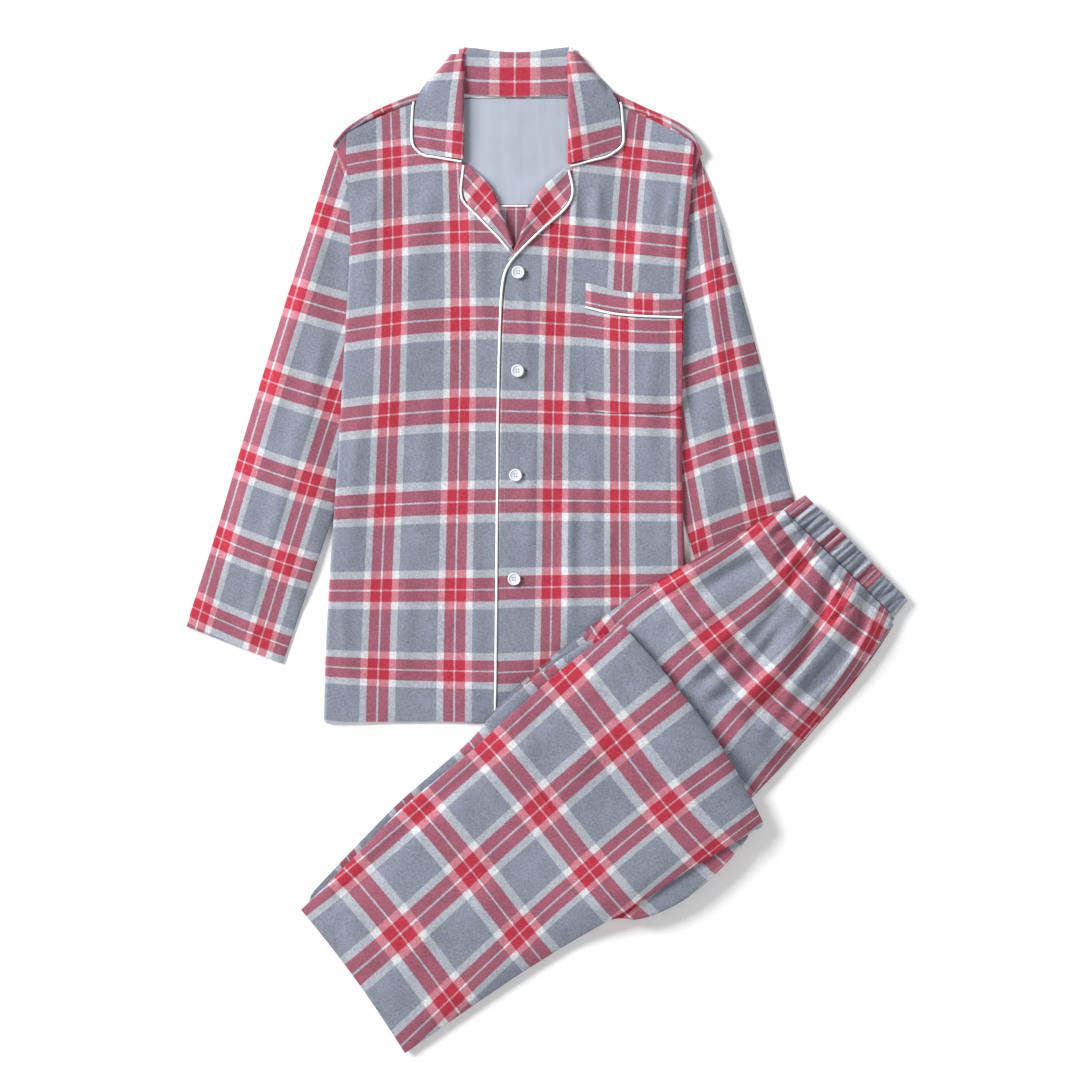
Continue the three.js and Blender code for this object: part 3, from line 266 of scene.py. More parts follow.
# Creases and swells: from (x, y) to (x, y) on the plan, sideways bend, half width, and height in millimetres.
SHIRT_CREASES = [
    (571, 505, 576, 650, 4, 7, 2.6), (590, 470, 592, 640, -3, 9, 1.5), (612, 520, 607, 600, 3, 8, 1.3),
    (534, 440, 530, 560, 3, 8, 1.1), (560, 340, 566, 440, -4, 7, 1.2), (583, 385, 600, 440, 4, 5, 1.6),
    (470, 205, 473, 300, 3, 5, 1.6), (482, 240, 486, 330, 3, 6, 1.2), (430, 190, 415, 330, 8, 13, 1.5),
    (378, 190, 366, 300, 6, 10, 1.3), (430, 400, 424, 560, 5, 12, 1.4), (360, 420, 352, 560, 4, 9, 1.2),
    (405, 560, 398, 700, -4, 10, 1.3), (470, 520, 476, 690, -3, 8, 1.1), (345, 600, 350, 700, 3, 8, 1.1),
    (598, 190, 606, 262, 4, 8, 2.2), (575, 190, 584, 250, 3, 6, 1.6), (650, 180, 640, 265, -5, 10, 1.4),
    (674, 195, 668, 270, 3, 7, 1.2), (655, 350, 650, 470, 4, 10, 1.3), (672, 430, 668, 560, 3, 7, 1.1),
    (426, 110, 436, 160, 4, 7, 1.3), (640, 118, 636, 150, 3, 6, 1.1), (521, 290, 526, 360, -2, 5, 0.9),
    (540, 275, 547, 350, 3, 6, 1.1), (402, 330, 440, 350, 6, 9, 0.9), (620, 600, 560, 640, 5, 10, 1.0),
]
SLEEVE_CREASES = [
    (318, 250, 268, 420, 5, 9, 1.5), (296, 420, 262, 560, -4, 8, 1.3), (228, 470, 206, 600, 4, 7, 1.1),
    (330, 330, 300, 470, 5, 8, 1.4), (262, 560, 250, 640, 3, 7, 0.9), (284, 540, 300, 600, 4, 6, 1.1),
    (325, 180, 318, 260, 3, 6, 1.1), (240, 430, 252, 520, 5, 8, 1.0), (722, 215, 744, 330, 4, 7, 1.6),
    (706, 250, 722, 400, -4, 7, 1.4), (742, 330, 768, 470, 4, 8, 1.3), (700, 380, 714, 480, 3, 7, 1.1),
    (735, 430, 748, 520, 4, 7, 1.0), (712, 170, 722, 230, 2, 5, 1.2),
]
THIGH_CREASES = [
    (868, 606, 806, 694, -6, 8, -6.2), (843, 640, 795, 700, -4, 7, -2.8), (829, 588, 752, 722, -8, 7.5, -4.6),
    (800, 560, 735, 660, -6, 6.5, -2.8), (776, 634, 700, 712, -5, 8, -4.4), (756, 560, 690, 604, 5, 9, -3.2),
    (735, 640, 676, 700, -5, 7.5, -3.8), (728, 742, 706, 768, 2, 8, -2.6), (690, 588, 640, 622, 4, 8, -2.4),
    (812, 530, 776, 566, 3, 5, -3.6), (826, 545, 800, 580, 3, 4, -2.6), (842, 560, 822, 590, 2, 4, -3.2),
    (856, 574, 838, 602, 2, 4, -2.6), (872, 590, 858, 616, 2, 4, -3.4), (795, 520, 770, 540, 2, 4, -2.4),
    (884, 604, 872, 630, 2, 4, -2.2), (800, 700, 770, 745, 3, 9, -2.2), (796, 640, 738, 700, -5, 7, 1.6),
    (846, 628, 786, 730, -6, 7, 1.5), (768, 596, 706, 660, 4, 8, 1.4), (812, 600, 768, 660, -5, 6, 1.3),
    (712, 610, 668, 650, 4, 8, 1.2), (744, 724, 724, 760, 2, 7, 1.4), (878, 640, 836, 694, -4, 6, 1.5),
]
SHIN_CREASES = [
    (352, 884, 600, 668, -7, 11, -2.4), (330, 905, 400, 850, 3, 8, -0.9), (600, 742, 560, 800, 5, 14, 1.5),
    (452, 800, 500, 860, 5, 15, 1.5), (540, 700, 590, 760, 6, 14, 1.4), (640, 690, 690, 752, 4, 13, 1.6),
    (390, 890, 430, 950, -4, 14, 1.4), (345, 930, 370, 968, 3, 12, 1.9), (384, 985, 410, 1025, 3, 11, 1.7),
    (430, 930, 400, 1000, 5, 12, 1.0), (560, 868, 610, 910, 4, 13, 1.3), (660, 800, 716, 838, 4, 12, 1.4),
    (480, 960, 530, 975, 3, 10, 1.0), (620, 660, 560, 720, 4, 12, 1.2), (505, 880, 470, 930, 4, 12, 1.1),
]
# Gathers of the waist: share of the way along its upper edge, where they start and end below it, bend, half
# width and height.
WAIST_GATHERS = [
    (0.03, 0, 30, 1, 2.2, 1.6), (0.075, 2, 44, -1, 2.0, -2.0), (0.115, 0, 26, 1.5, 2.4, 1.5),
    (0.16, 6, 60, -2, 2.2, -2.6), (0.205, 0, 24, 1, 2.6, 1.8), (0.25, 12, 52, 2, 2.0, -2.2),
    (0.29, 0, 30, -1, 2.2, 1.4), (0.335, 4, 70, -3, 2.6, -2.9), (0.38, 0, 22, 1, 2.4, 1.7),
    (0.425, 10, 46, 2, 2.0, -2.2), (0.47, 0, 28, -1, 2.8, 1.5), (0.515, 2, 38, 1, 2.0, -2.0),
    (0.555, 0, 20, 1, 2.2, 1.6), (0.6, 8, 66, -2, 2.6, -3.0), (0.645, 0, 30, 1, 2.4, 1.4),
    (0.69, 5, 44, 2, 2.2, -2.4), (0.735, 0, 26, -1.5, 2.6, 1.7), (0.78, 10, 78, -2, 2.8, -3.2),
    (0.825, 0, 24, 1, 2.2, 1.5), (0.87, 3, 40, 1, 2.0, -2.2), (0.91, 0, 30, -1, 2.4, 1.5),
    (0.955, 6, 34, 1, 2.0, -1.8),
]
UNDERSIDE_CREASES = [
    (400, 180, 420, 400, 8, 14, 0.5), (600, 200, 580, 420, -8, 16, 0.5), (480, 400, 460, 640, 6, 15, 0.45),
    (560, 480, 590, 660, 6, 13, 0.5), (380, 520, 360, 680, -5, 12, 0.4), (520, 240, 530, 380, 5, 11, 0.45),
]


class PlaidSettings(bpy.types.PropertyGroup):
    """Colours and stripe widths of the plaid."""

    ground: FloatVectorProperty(
        name="Ground", description="Heathered grey-blue yarn between the stripes",
        subtype="COLOR", size=3, min=0, max=1, default=(0.186, 0.204, 0.254))
    pale: FloatVectorProperty(
        name="Pale stripe", description="Off-white yarn at each side of a red stripe, and its centre line",
        subtype="COLOR", size=3, min=0, max=1, default=(0.535, 0.548, 0.565))
    red: FloatVectorProperty(
        name="Red stripe", description="Red yarn",
        subtype="COLOR", size=3, min=0, max=1, default=(0.372, 0.022, 0.045))
    warp_line: FloatProperty(
        name="Warp centre line", description="Half width of the pale centre line, as a share of the repeat",
        min=0, max=0.1, default=0.0115)
    warp_red: FloatProperty(
        name="Warp red stripe", description="Half width of the red stripe, as a share of the repeat",
        min=0, max=0.5, default=0.143)
    warp_pale: FloatProperty(
        name="Warp pale stripe", description="Half width to the pale stripe's edge, as a share of the repeat",
        min=0, max=0.5, default=0.232)
    weft_line: FloatProperty(
        name="Weft centre line", description="Half width of the pale centre line, as a share of the repeat",
        min=0, max=0.1, default=0.009)
    weft_red: FloatProperty(
        name="Weft red stripe", description="Half width of the red stripe, as a share of the repeat",
        min=0, max=0.5, default=0.140)
    weft_pale: FloatProperty(
        name="Weft pale stripe", description="Half width to the pale stripe's edge, as a share of the repeat",
        min=0, max=0.5, default=0.232)
    heather: FloatProperty(
        name="Heather", description="How unevenly the brushed yarn takes its colour",
        min=0, max=1, default=0.27)
    nap: FloatProperty(
        name="Nap", description="Height of the brushed surface's fuzz in the bump", unit="LENGTH",
        min=0, max=0.002, default=0.00022)


class TrimSettings(bpy.types.PropertyGroup):
    """Piping, facing and buttons."""

    piping_color: FloatVectorProperty(
        name="Piping", description="White cotton piping", subtype="COLOR", size=3, min=0, max=1,
        default=(0.90, 0.905, 0.91))
    piping_plump: FloatProperty(
        name="Piping plumpness", description="How far the round cord stands beyond its faceted frame",
        unit="LENGTH", min=0, max=0.002, default=0.0003)
    facing_color: FloatVectorProperty(
        name="Facing", description="Plain pale cotton inside the back neck", subtype="COLOR", size=3,
        min=0, max=1, default=(0.335, 0.365, 0.43))
    button_color: FloatVectorProperty(
        name="Buttons", description="White resin", subtype="COLOR", size=3, min=0, max=1,
        default=(0.66, 0.69, 0.73))
    stitch: FloatProperty(
        name="Stitch length", description="Length of one stitch of the hems", unit="LENGTH",
        min=0.001, max=0.006, default=0.0026)
    stitch_gap: FloatProperty(
        name="Stitch gap", description="Gap between two stitches", unit="LENGTH",
        min=0.0002, max=0.004, default=0.0012)


class StudioSettings(bpy.types.PropertyGroup):
    """Floor, lights and camera."""

    floor_color: FloatVectorProperty(
        name="Floor", description="Pale floor", subtype="COLOR", size=3, min=0, max=1,
        default=(0.93, 0.93, 0.935))
    key: FloatProperty(
        name="Key light", description="Power of the large light at the upper left", unit="POWER",
        min=0, max=2000, default=350)
    fill: FloatProperty(
        name="Fill light", description="Power of the weak light at the lower right", unit="POWER",
        min=0, max=2000, default=34)
    ambience: FloatProperty(
        name="Ambience", description="Strength of the room's even light", min=0, max=5, default=0.33)
    camera_height: FloatProperty(
        name="Camera height", description="Height of the camera above the floor", unit="LENGTH",
        min=0.5, max=10, default=3.46)
    lens: FloatProperty(
        name="Lens", description="Focal length in millimetres", min=10, max=300, default=100)


def settings(name):
    return getattr(bpy.context.scene, name)


# Places on the layout plan and in the trousers' frame


def on_plan(points):
    x = points[:, 0] / PLAN_CELL + PLAN_ORIGIN[0]
    y = PLAN_ORIGIN[1] - points[:, 1] / PLAN_CELL
    return x, y


def on_trousers(points):
    x = points[:, 0] / MM - TROUSERS_ORIGIN[0]
    y = points[:, 1] / MM - TROUSERS_ORIGIN[1]
    c, s = math.cos(TROUSERS_TURN), math.sin(TROUSERS_TURN)
    return c * x + s * y, -s * x + c * y


def ramp(low, high, value):
    """Rises softly from 0 at low to 1 at high."""
    t = np.clip((value - low) / (high - low), 0, 1)
    return t * t * (3 - 2 * t)


# Pieces from the frame's solids


def made_mesh(bm, name):
    """Turns a finished bmesh into a mesh and lets the bmesh go."""
    mesh = bpy.data.meshes.new(name)
    bm.to_mesh(mesh)
    bm.free()
    return mesh


def placed(name, mesh):
    """A new object of the scene for a mesh."""
    thing = bpy.data.objects.new(name, mesh)
    bpy.context.scene.collection.objects.link(thing)
    return thing


def evaluated_mesh(thing):
    """The mesh that a modified object comes to."""
    view = bpy.context.evaluated_depsgraph_get()
    return bpy.data.meshes.new_from_object(thing.evaluated_get(view))


def cloth_copy(node, levels, rim=RIM):
    """A smooth, finely divided copy of one of the frame's solids, its thin rims kept."""
    bm = bmesh.new()
    bm.from_mesh(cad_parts[node].data)
    bmesh.ops.remove_doubles(bm, verts=bm.verts, dist=5e-6)
    bmesh.ops.join_triangles(
        bm, faces=bm.faces, cmp_seam=False, cmp_sharp=False, cmp_uvs=False, cmp_vcols=False,
        cmp_materials=False, angle_face_threshold=math.radians(35), angle_shape_threshold=math.radians(62))
    sharp = bm.edges.layers.float.new("crease_edge")
    for edge in bm.edges:
        if edge.is_manifold and rim[0] < math.degrees(edge.calc_face_angle()) < rim[1]:
            edge[sharp] = 1.0
    mesh = made_mesh(bm, node)
    rough = placed(node + "_rough", mesh)
    divide = rough.modifiers.new("Divide", "SUBSURF")
    divide.levels = levels
    divide.render_levels = levels
    divide.boundary_smooth = "PRESERVE_CORNERS"
    fine = evaluated_mesh(rough)
    bpy.data.objects.remove(rough)
    bpy.data.meshes.remove(mesh)
    for name in ("crease_edge", "custom_normal"):
        if name in fine.attributes:
            fine.attributes.remove(fine.attributes[name])
    fine.name = node
    return fine


def rows_of(items, what):
    """A value with three numbers of all the vertices or faces of a mesh, as rows."""
    flat = np.empty(len(items) * 3)
    items.foreach_get(what, flat)
    return flat.reshape(-1, 3)


def points_of(mesh):
    return rows_of(mesh.vertices, "co")


def normals_of(mesh):
    return rows_of(mesh.vertices, "normal")


def faces_of(mesh):
    return rows_of(mesh.polygons, "center")


def set_points(mesh, points):
    mesh.vertices.foreach_set("co", points.ravel())
    mesh.update()


def relief(x, y, creases):
    """Height in metres of all the creases of a table at places on the plan."""
    height = np.zeros(len(x))
    for x0, y0, x1, y1, bend, width, rise in creases:
        length = math.hypot(x1 - x0, y1 - y0)
        ux, uy = (x1 - x0) / length, (y1 - y0) / length
        along = ((x - x0) * ux + (y - y0) * uy) / length
        aside = (y - y0) * ux - (x - x0) * uy - bend * 4 * along * (1 - along)
        ends = ramp(-0.22, 0.22, along) * (1 - ramp(0.74, 1.2, along))
        spread = width * (0.8 + 0.4 * np.clip(along, 0, 1))
        height += rise * ends * np.exp(-((aside / spread) ** 2))
    return height * MM


def beside_trousers(x, y):
    """1 on the shirt where it is clear of the trousers that lie on it, 0 under them."""
    clear = (x - TROUSERS_LINE[0]) * CLEAR_WAY[0] + (y - TROUSERS_LINE[1]) * CLEAR_WAY[1]
    return ramp(20, 58, clear)


def shirt_relief(points):
    """Creases of the fronts and of what lies on them, none at the shoulders and the hem."""
    x, y = on_plan(points)
    ends = ramp(112, 142, y) * (1 - ramp(700, 716, y))
    return SHIRT_DEPTH * relief(x, y, SHIRT_CREASES) * beside_trousers(x, y) * ends


def sleeve_relief(points):
    """Creases and fullness of the sleeves, where they are clear of the body and the trousers."""
    x, y = on_plan(points)
    outside = ramp(0, 30, 340 - x) + ramp(0, 26, x - 690)
    right_edge = np.interp(y, *SLEEVE_RIGHT_EDGE)
    left_edge = np.interp(y, *SLEEVE_LEFT_EDGE)
    fullness = SLEEVE_FULLNESS * ramp(0, 24, x - right_edge) * ramp(0, 24, left_edge - x)
    height = SLEEVE_DEPTH * relief(x, y, SLEEVE_CREASES) + fullness * (1 - ramp(560, 620, y))
    return height * outside * beside_trousers(x, y)


def gathers():
    """The waist's gathers as creases on the plan."""
    creases = []
    for share, start, end, bend, width, rise in WAIST_GATHERS:
        x, y = (corner + share * edge for corner, edge in zip(WAIST_CORNER, WAIST_EDGE))
        ends = [c + way * reach for reach in (start, end) for c, way in zip((x, y), GATHER_WAY)]
        creases.append((*ends, bend, width, rise))
    return creases


def thigh_relief(points, normals):
    """Fullness, creases and gathers on top of the upper leg, flat at its edges and at the fold."""
    x, y = on_plan(points)
    u, v = on_trousers(points)
    zone = ramp(500, 538, u) * (1 - 0.55 * ramp(716, 744, u))
    edges = ramp(0, 22, 158 - v) * ramp(0, 22, v - np.interp(u, *THIGH_LOWER_EDGE))
    level, uneven = THIGH_SWELL
    swell = (level + uneven * np.sin(0.052 * u + 0.031 * v) * np.sin(0.071 * v)) * MM
    folds = THIGH_DEPTH * relief(x, y, THIGH_CREASES)
    height = np.maximum(swell + folds + relief(x, y, gathers()), LOWEST_DIP)
    return height * zone * edges * ramp(0.0, 0.5, normals[:, 2])


def waist_relief(points, normals):
    """The gathers carried on over the top of the waistband."""
    x, y = on_plan(points)
    height = np.clip(1.3 * MM + relief(x, y, gathers()), -0.7 * MM, 4 * MM)
    return height * ramp(0.0, 0.6, normals[:, 2])


def shin_relief(points, normals):
    """Fullness and creases on top of the lower leg, flat at its edges, its hem and the fold."""
    x, y = on_plan(points)
    u, v = on_trousers(points)
    edges = ramp(0, 26, 118 + 0.055 * u - v) * ramp(0, 26, v + 103 + 0.075 * u)
    ends = ramp(2, 34, u) * (1 - ramp(478, 500, u))
    level, uneven = SHIN_SWELL
    swell = (level + uneven * np.sin(0.021 * u + 0.7) * np.sin(0.043 * v + 0.4)) * MM
    height = np.maximum(swell + SHIN_DEPTH * relief(x, y, SHIN_CREASES), LOWEST_DIP)
    return height * edges * ends * ramp(0.0, 0.5, normals[:, 2])


def underside(points, normals, creases):
    """Faint unevenness of a piece's lower side, from another run of the same creases."""
    x, y = on_plan(points)
    return UNDERSIDE_DEPTH * np.abs(relief(x + 12, y - 9, creases)) * ramp(0.3, 0.8, -normals[:, 2])


# The plaid's coordinates


def smooth_terms(x, y, centre, span):
    """All products of x and y up to the third power, with x and y first brought to about -1 to 1."""
    x, y = (x - centre[0]) / span, (y - centre[1]) / span
    return np.stack([np.ones_like(x), x, y, x * x, x * y, y * y, x**3, x * x * y, x * y * y, y**3], 1)


def stripe_numbers(marks, x, y):
    """The stripe count at each place, on a smooth surface through the marks of a table."""
    marks = np.array(marks, float)
    low, high = marks[:, 1:].min(0), marks[:, 1:].max(0)
    centre, span = (low + high) / 2, float(max(high - low)) / 2
    terms = smooth_terms(marks[:, 1], marks[:, 2], centre, span)
    # The curved terms are held back a little, so that few marks don't bend the stripes between them.
    stiffness = np.diag([0, 0, 0, 0.03, 0.03, 0.03, 0.06, 0.06, 0.06, 0.06])
    weights = np.linalg.lstsq(
        np.vstack([terms, stiffness]), np.concatenate([marks[:, 0], np.zeros(len(stiffness))]), rcond=None)[0]
    return smooth_terms(x, y, centre, span) @ weights


def lay_plaid(mesh, name, part=None):
    """Writes the plaid's coordinates to the mesh's UV map; part picks the faces that they go to."""
    x, y = on_plan(points_of(mesh))
    uv = np.stack([stripe_numbers(PLAIDS[name][way], x, y) for way in ("warp", "weft")], 1)
    layer = mesh.uv_layers.get("plaid") or mesh.uv_layers.new(name="plaid")
    corners = np.empty(len(mesh.loops), int)
    mesh.loops.foreach_get("vertex_index", corners)
    now = np.empty(len(mesh.loops) * 2)
    layer.uv.foreach_get("vector", now)
    now = now.reshape(-1, 2)
    sizes = np.empty(len(mesh.polygons), int)
    mesh.polygons.foreach_get("loop_total", sizes)
    chosen = np.ones(len(corners), bool) if part is None else np.repeat(part, sizes)
    now[chosen] = uv[corners][chosen]
    layer.uv.foreach_set("vector", now.ravel())


# Materials


class Finish:
    """A material's node tree, with short ways to add nodes to it."""

    def __init__(self, name):
        self.material = bpy.data.materials.new(name)
        self.material.use_nodes = True
        self.nodes = self.material.node_tree.nodes
        self.links = self.material.node_tree.links
        self.shader = self.nodes["Principled BSDF"]

    def add(self, kind, inputs=(), **values):
        node = self.nodes.new(kind)
        for key, value in values.items():
            setattr(node, key, value)
        for key, value in dict(inputs).items():
            self.feed(node, key, value)
        return node

    def feed(self, node, key, value):
        if isinstance(value, bpy.types.NodeSocket):
            self.links.new(value, node.inputs[key])
        else:
            node.inputs[key].default_value = value

    def set(self, key, value):
        self.feed(self.shader, key, value)

    def object_place(self):
        return self.add("ShaderNodeTexCoord").outputs["Object"]

    def stretched(self, vector, scale):
        return self.add("ShaderNodeMapping", {"Vector": vector, "Scale": scale}).outputs[0]

    def math(self, operation, a, b=0.0):
        return self.add("ShaderNodeMath", {0: a, 1: b}, operation=operation).outputs[0]

    def blend(self, share, a, b, mode="MIX"):
        mix = self.add(
            "ShaderNodeMix", {"Factor": share, "A": a, "B": b}, data_type="RGBA", blend_type=mode)
        return mix.outputs["Result"]

    def noise(self, vector, scale, detail=2.0, roughness=0.5):
        return self.add(
            "ShaderNodeTexNoise", {"Vector": vector, "Scale": scale, "Detail": detail, "Roughness": roughness}
        ).outputs["Fac"]

    def between(self, value, low, high, to_low, to_high):
        return self.add(
            "ShaderNodeMapRange", {0: value, 1: low, 2: high, 3: to_low, 4: to_high}, clamp=True).outputs[0]

    def spread(self, noise, to_low, to_high):
        """The middle of a noise, where nearly all its values lie, spread over a range."""
        return self.between(noise, 0.3, 0.7, to_low, to_high)

    def tint(self, base, level):
        """Sets the base colour, made lighter and darker by a level round 1."""
        tone = self.add("ShaderNodeCombineColor", {0: level, 1: level, 2: level}).outputs[0]
        self.set("Base Color", self.blend(1.0, base, tone, "MULTIPLY"))

    def bump(self, height, distance, strength, below=None):
        inputs = {"Height": height, "Distance": distance, "Strength": strength}
        if below is not None:
            inputs["Normal"] = below
        return self.add("ShaderNodeBump", inputs).outputs[0]


def colour(values):
    return (*values, 1.0)


def yarn_colour(finish, count, line, red, pale, wobble):
    """The colour of one set of yarns from its stripe count: ground, pale, red and a pale centre line."""
    plaid = settings("pyjama_plaid")
    edge = 0.0045  # half width of the blur at a stripe's edge, as a share of the repeat
    turn = finish.math("SUBTRACT", finish.math("FRACT", finish.math("ADD", count, 0.5)), 0.5)
    off = finish.math("ADD", finish.math("ABSOLUTE", turn), wobble)
    inside_pale = finish.between(off, pale - edge, pale + edge, 1, 0)
    inside_red = finish.between(off, red - edge, red + edge, 1, 0)
    inside_line = finish.between(off, line - edge * 0.5, line + edge * 0.5, 1, 0)
    shade = finish.blend(inside_pale, colour(plaid.ground), colour(plaid.pale))
    shade = finish.blend(inside_red, shade, colour(plaid.red))
    return finish.blend(inside_line, shade, colour(plaid.pale))


def flannel(name):
    """Brushed plaid twill: yarn colours crossed, heathered, with a fine twill line and a fuzzy nap."""
    plaid = settings("pyjama_plaid")
    finish = Finish(name)
    uv = finish.add("ShaderNodeUVMap", uv_map="plaid").outputs[0]
    place = finish.object_place()
    parts = finish.add("ShaderNodeSeparateXYZ", {0: uv})
    warp, weft = parts.outputs[0], parts.outputs[1]
    ragged = finish.noise(place, 900.0, 2.0, 0.6)
    wobble = finish.math("MULTIPLY", finish.math("SUBTRACT", ragged, 0.5), 0.020)
    warp_yarn = yarn_colour(finish, warp, plaid.warp_line, plaid.warp_red, plaid.warp_pale, wobble)
    weft_yarn = yarn_colour(finish, weft, plaid.weft_line, plaid.weft_red, plaid.weft_pale, wobble)
    product = finish.blend(1.0, warp_yarn, weft_yarn, "MULTIPLY")
    crossed = finish.add("ShaderNodeGamma", {0: product, 1: 0.5}).outputs[0]
    average = finish.blend(0.5, warp_yarn, weft_yarn)
    woven = finish.blend(0.3, crossed, average)
    heather = finish.noise(place, 430.0, 3.0, 0.7)
    patches = finish.noise(place, 38.0, 2.0, 0.5)
    fibres = finish.noise(finish.stretched(place, (1.0, 0.35, 1.0)), 1500.0, 2.0, 0.6)
    level = finish.math("ADD", finish.spread(heather, 1 - plaid.heather, 1 + plaid.heather),
                        finish.spread(fibres, -0.10, 0.10))
    level = finish.math("ADD", level, finish.spread(patches, -0.05, 0.05))
    finish.tint(woven, level)
    finish.set("Roughness", finish.spread(heather, 0.86, 0.98))
    slant = finish.math("ADD", finish.math("MULTIPLY", warp, 84.0), finish.math("MULTIPLY", weft, 98.0))
    twill = finish.math("SINE", finish.math("MULTIPLY", slant, 2 * math.pi / 1.3))
    weave = finish.math("ADD", finish.math("MULTIPLY", twill, 0.25), heather)
    soft = finish.bump(patches, 1.6 * MM, 0.6)
    finish.set("Normal", finish.bump(weave, plaid.nap, 0.9, soft))
    finish.set("Sheen Weight", 0.22)
    finish.set("Sheen Roughness", 0.55)
    finish.set("Specular IOR Level", 0.12)
    return finish.material


def plain_cotton(name, tint, nap, ribs=0.0):
    """Plain fine cotton, faintly streaked; ribs is the angular frequency of a square weave, if it shows."""
    finish = Finish(name)
    place = finish.object_place()
    yarn = finish.noise(place, 700.0, 3.0, 0.65)
    patches = finish.noise(place, 22.0, 2.0, 0.5)
    streaks = finish.noise(finish.stretched(place, (1.0, 0.12, 1.0)), 130.0, 2.0, 0.5)
    level = finish.math("ADD", finish.spread(yarn, 0.95, 1.05), finish.spread(patches, -0.05, 0.05))
    level = finish.math("ADD", level, finish.spread(streaks, -0.045, 0.045))
    finish.tint(colour(tint), level)
    finish.set("Roughness", finish.spread(yarn, 0.68, 0.86))
    threads = yarn
    if ribs:
        parts = finish.add("ShaderNodeSeparateXYZ", {0: place})
        wave = finish.math("SINE", finish.math("MULTIPLY", parts.outputs[0], ribs))
        across = finish.math("SINE", finish.math("MULTIPLY", parts.outputs[1], ribs))
        threads = finish.math("ADD", yarn, finish.math("MULTIPLY", finish.math("ADD", wave, across), 0.2))
    finish.set("Normal", finish.bump(threads, nap, 0.8))
    finish.set("Specular IOR Level", 0.2)
    return finish.material


def button_resin(name):
    """White resin, faintly clouded and polished."""
    trim = settings("pyjama_trim")
    finish = Finish(name)
    place = finish.object_place()
    cloud = finish.noise(place, 240.0, 3.0, 0.6)
    finish.tint(colour(trim.button_color), finish.spread(cloud, 0.93, 1.05))
    finish.set("Roughness", finish.spread(cloud, 0.22, 0.34))
    finish.set("Normal", finish.bump(cloud, 0.04 * MM, 0.4))
    finish.set("Subsurface Weight", 0.08)
    return finish.material


def matt(name, tint, roughness=0.8):
    """A matt surface with a faint speckle, for threads and the floor."""
    finish = Finish(name)
    place = finish.object_place()
    speck = finish.noise(place, 900.0, 2.0, 0.5)
    finish.tint(colour(tint), finish.spread(speck, 0.9, 1.1))
    finish.set("Roughness", roughness)
    return finish.material


def material(name, make, *values):
    """The material of a name, made once."""
    return bpy.data.materials.get(name) or make(name, *values)


def show(mesh, name, finish, slot, *nodes, sharp=50):
    """Puts a finished mesh in the scene as a piece that stands for some of the frame's nodes."""
    piece = placed(name, mesh)
    mesh.materials.clear()
    mesh.materials.append(finish)
    mesh.polygons.foreach_set("use_smooth", np.full(len(mesh.polygons), True))
    if sharp:
        mesh.set_sharp_from_angle(angle=math.radians(sharp))
    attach(piece, "root")
    if nodes:
        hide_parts(*nodes)
    return piece


def cloth_piece(node, levels, lift, rim=RIM, plaid=None):
    """Copies a node, lays the plaid on it and lets its creases in."""
    mesh = cloth_copy(node, levels, rim)
    lay_plaid(mesh, plaid or node)
    points = points_of(mesh)
    points[:, 2] += lift(points, normals_of(mesh))
    set_points(mesh, points)
    piece = show(mesh, node + "_cloth", material("brushed plaid flannel", flannel), "flannel", node)
    return piece


def over_shirt(points, _normals):
    return shirt_relief(points)


def over_pocket(points, _normals):
    _x, y = on_plan(points)
    return shirt_relief(points) - 0.75 * MM * ramp(388, 407, y)


def over_sleeve(points, normals):
    return sleeve_relief(points) * ramp(0.0, 0.4, normals[:, 2]) + underside(points, normals, SLEEVE_CREASES)


def under_back(points, _normals):
    """Unevenness of the back's lower side alone."""
    return relief(*on_plan(points), UNDERSIDE_CREASES) * (points[:, 2] < 2.1 * MM)


def between_legs(points, normals):
    """The hidden layers, uneven underneath and drawn in a little where the legs lie on them."""
    drawn_in = 0.35 * MM * ramp(0.3, 0.9, normals[:, 2])
    return underside(points, normals, THIGH_CREASES + SHIN_CREASES) - drawn_in


# Stitches


def bead(bm, place, radii, segments=(8, 5)):
    """Adds a stretched round bead, such as one stitch, to a bmesh."""
    made = bmesh.ops.create_uvsphere(bm, u_segments=segments[0], v_segments=segments[1], radius=1.0)
    bmesh.ops.transform(bm, matrix=place @ Matrix.Diagonal((*radii, 1)), verts=made["verts"])


def stitch_run(line, name, finish):
    """One joined mesh of short thread stitches along a line of points."""
    trim = settings("pyjama_trim")
    line = [Vector(p) for p in line]
    bm = bmesh.new()
    step = trim.stitch + trim.stitch_gap
    carried = 0.0
    for a, b in zip(line, line[1:]):
        length = (b - a).length
        direction = (b - a).normalized()
        turn = direction.to_track_quat("X", "Z").to_matrix().to_4x4()
        while carried < length:
            place = Matrix.Translation(a + direction * carried + Vector((0, 0, STITCH_LIFT)))
            bead(bm, place @ turn, (trim.stitch / 2, *STITCH_RADII), (6, 4))
            carried += step
        carried -= length
    return show(made_mesh(bm, name), name, finish, "flannel", sharp=0)


def top_of(piece, xy):
    """The height of a piece's uppermost surface over a place in the set."""
    hit, place, _normal, _face = piece.ray_cast(Vector((xy[0], xy[1], 0.2)), Vector((0, 0, -1)))
    return place.z if hit else None


def plan_line(piece, marks, count):
    """Points on a piece's top, evenly along straight runs between marks on the plan."""
    places = []
    for (x0, y0), (x1, y1) in zip(marks, marks[1:]):
        for k in range(count):
            t = k / count
            px, py = x0 + (x1 - x0) * t, y0 + (y1 - y0) * t
            xy = ((px - PLAN_ORIGIN[0]) * PLAN_CELL, (PLAN_ORIGIN[1] - py) * PLAN_CELL)
            z = top_of(piece, xy)
            if z is not None:
                places.append((*xy, z))
    return places


# Operators


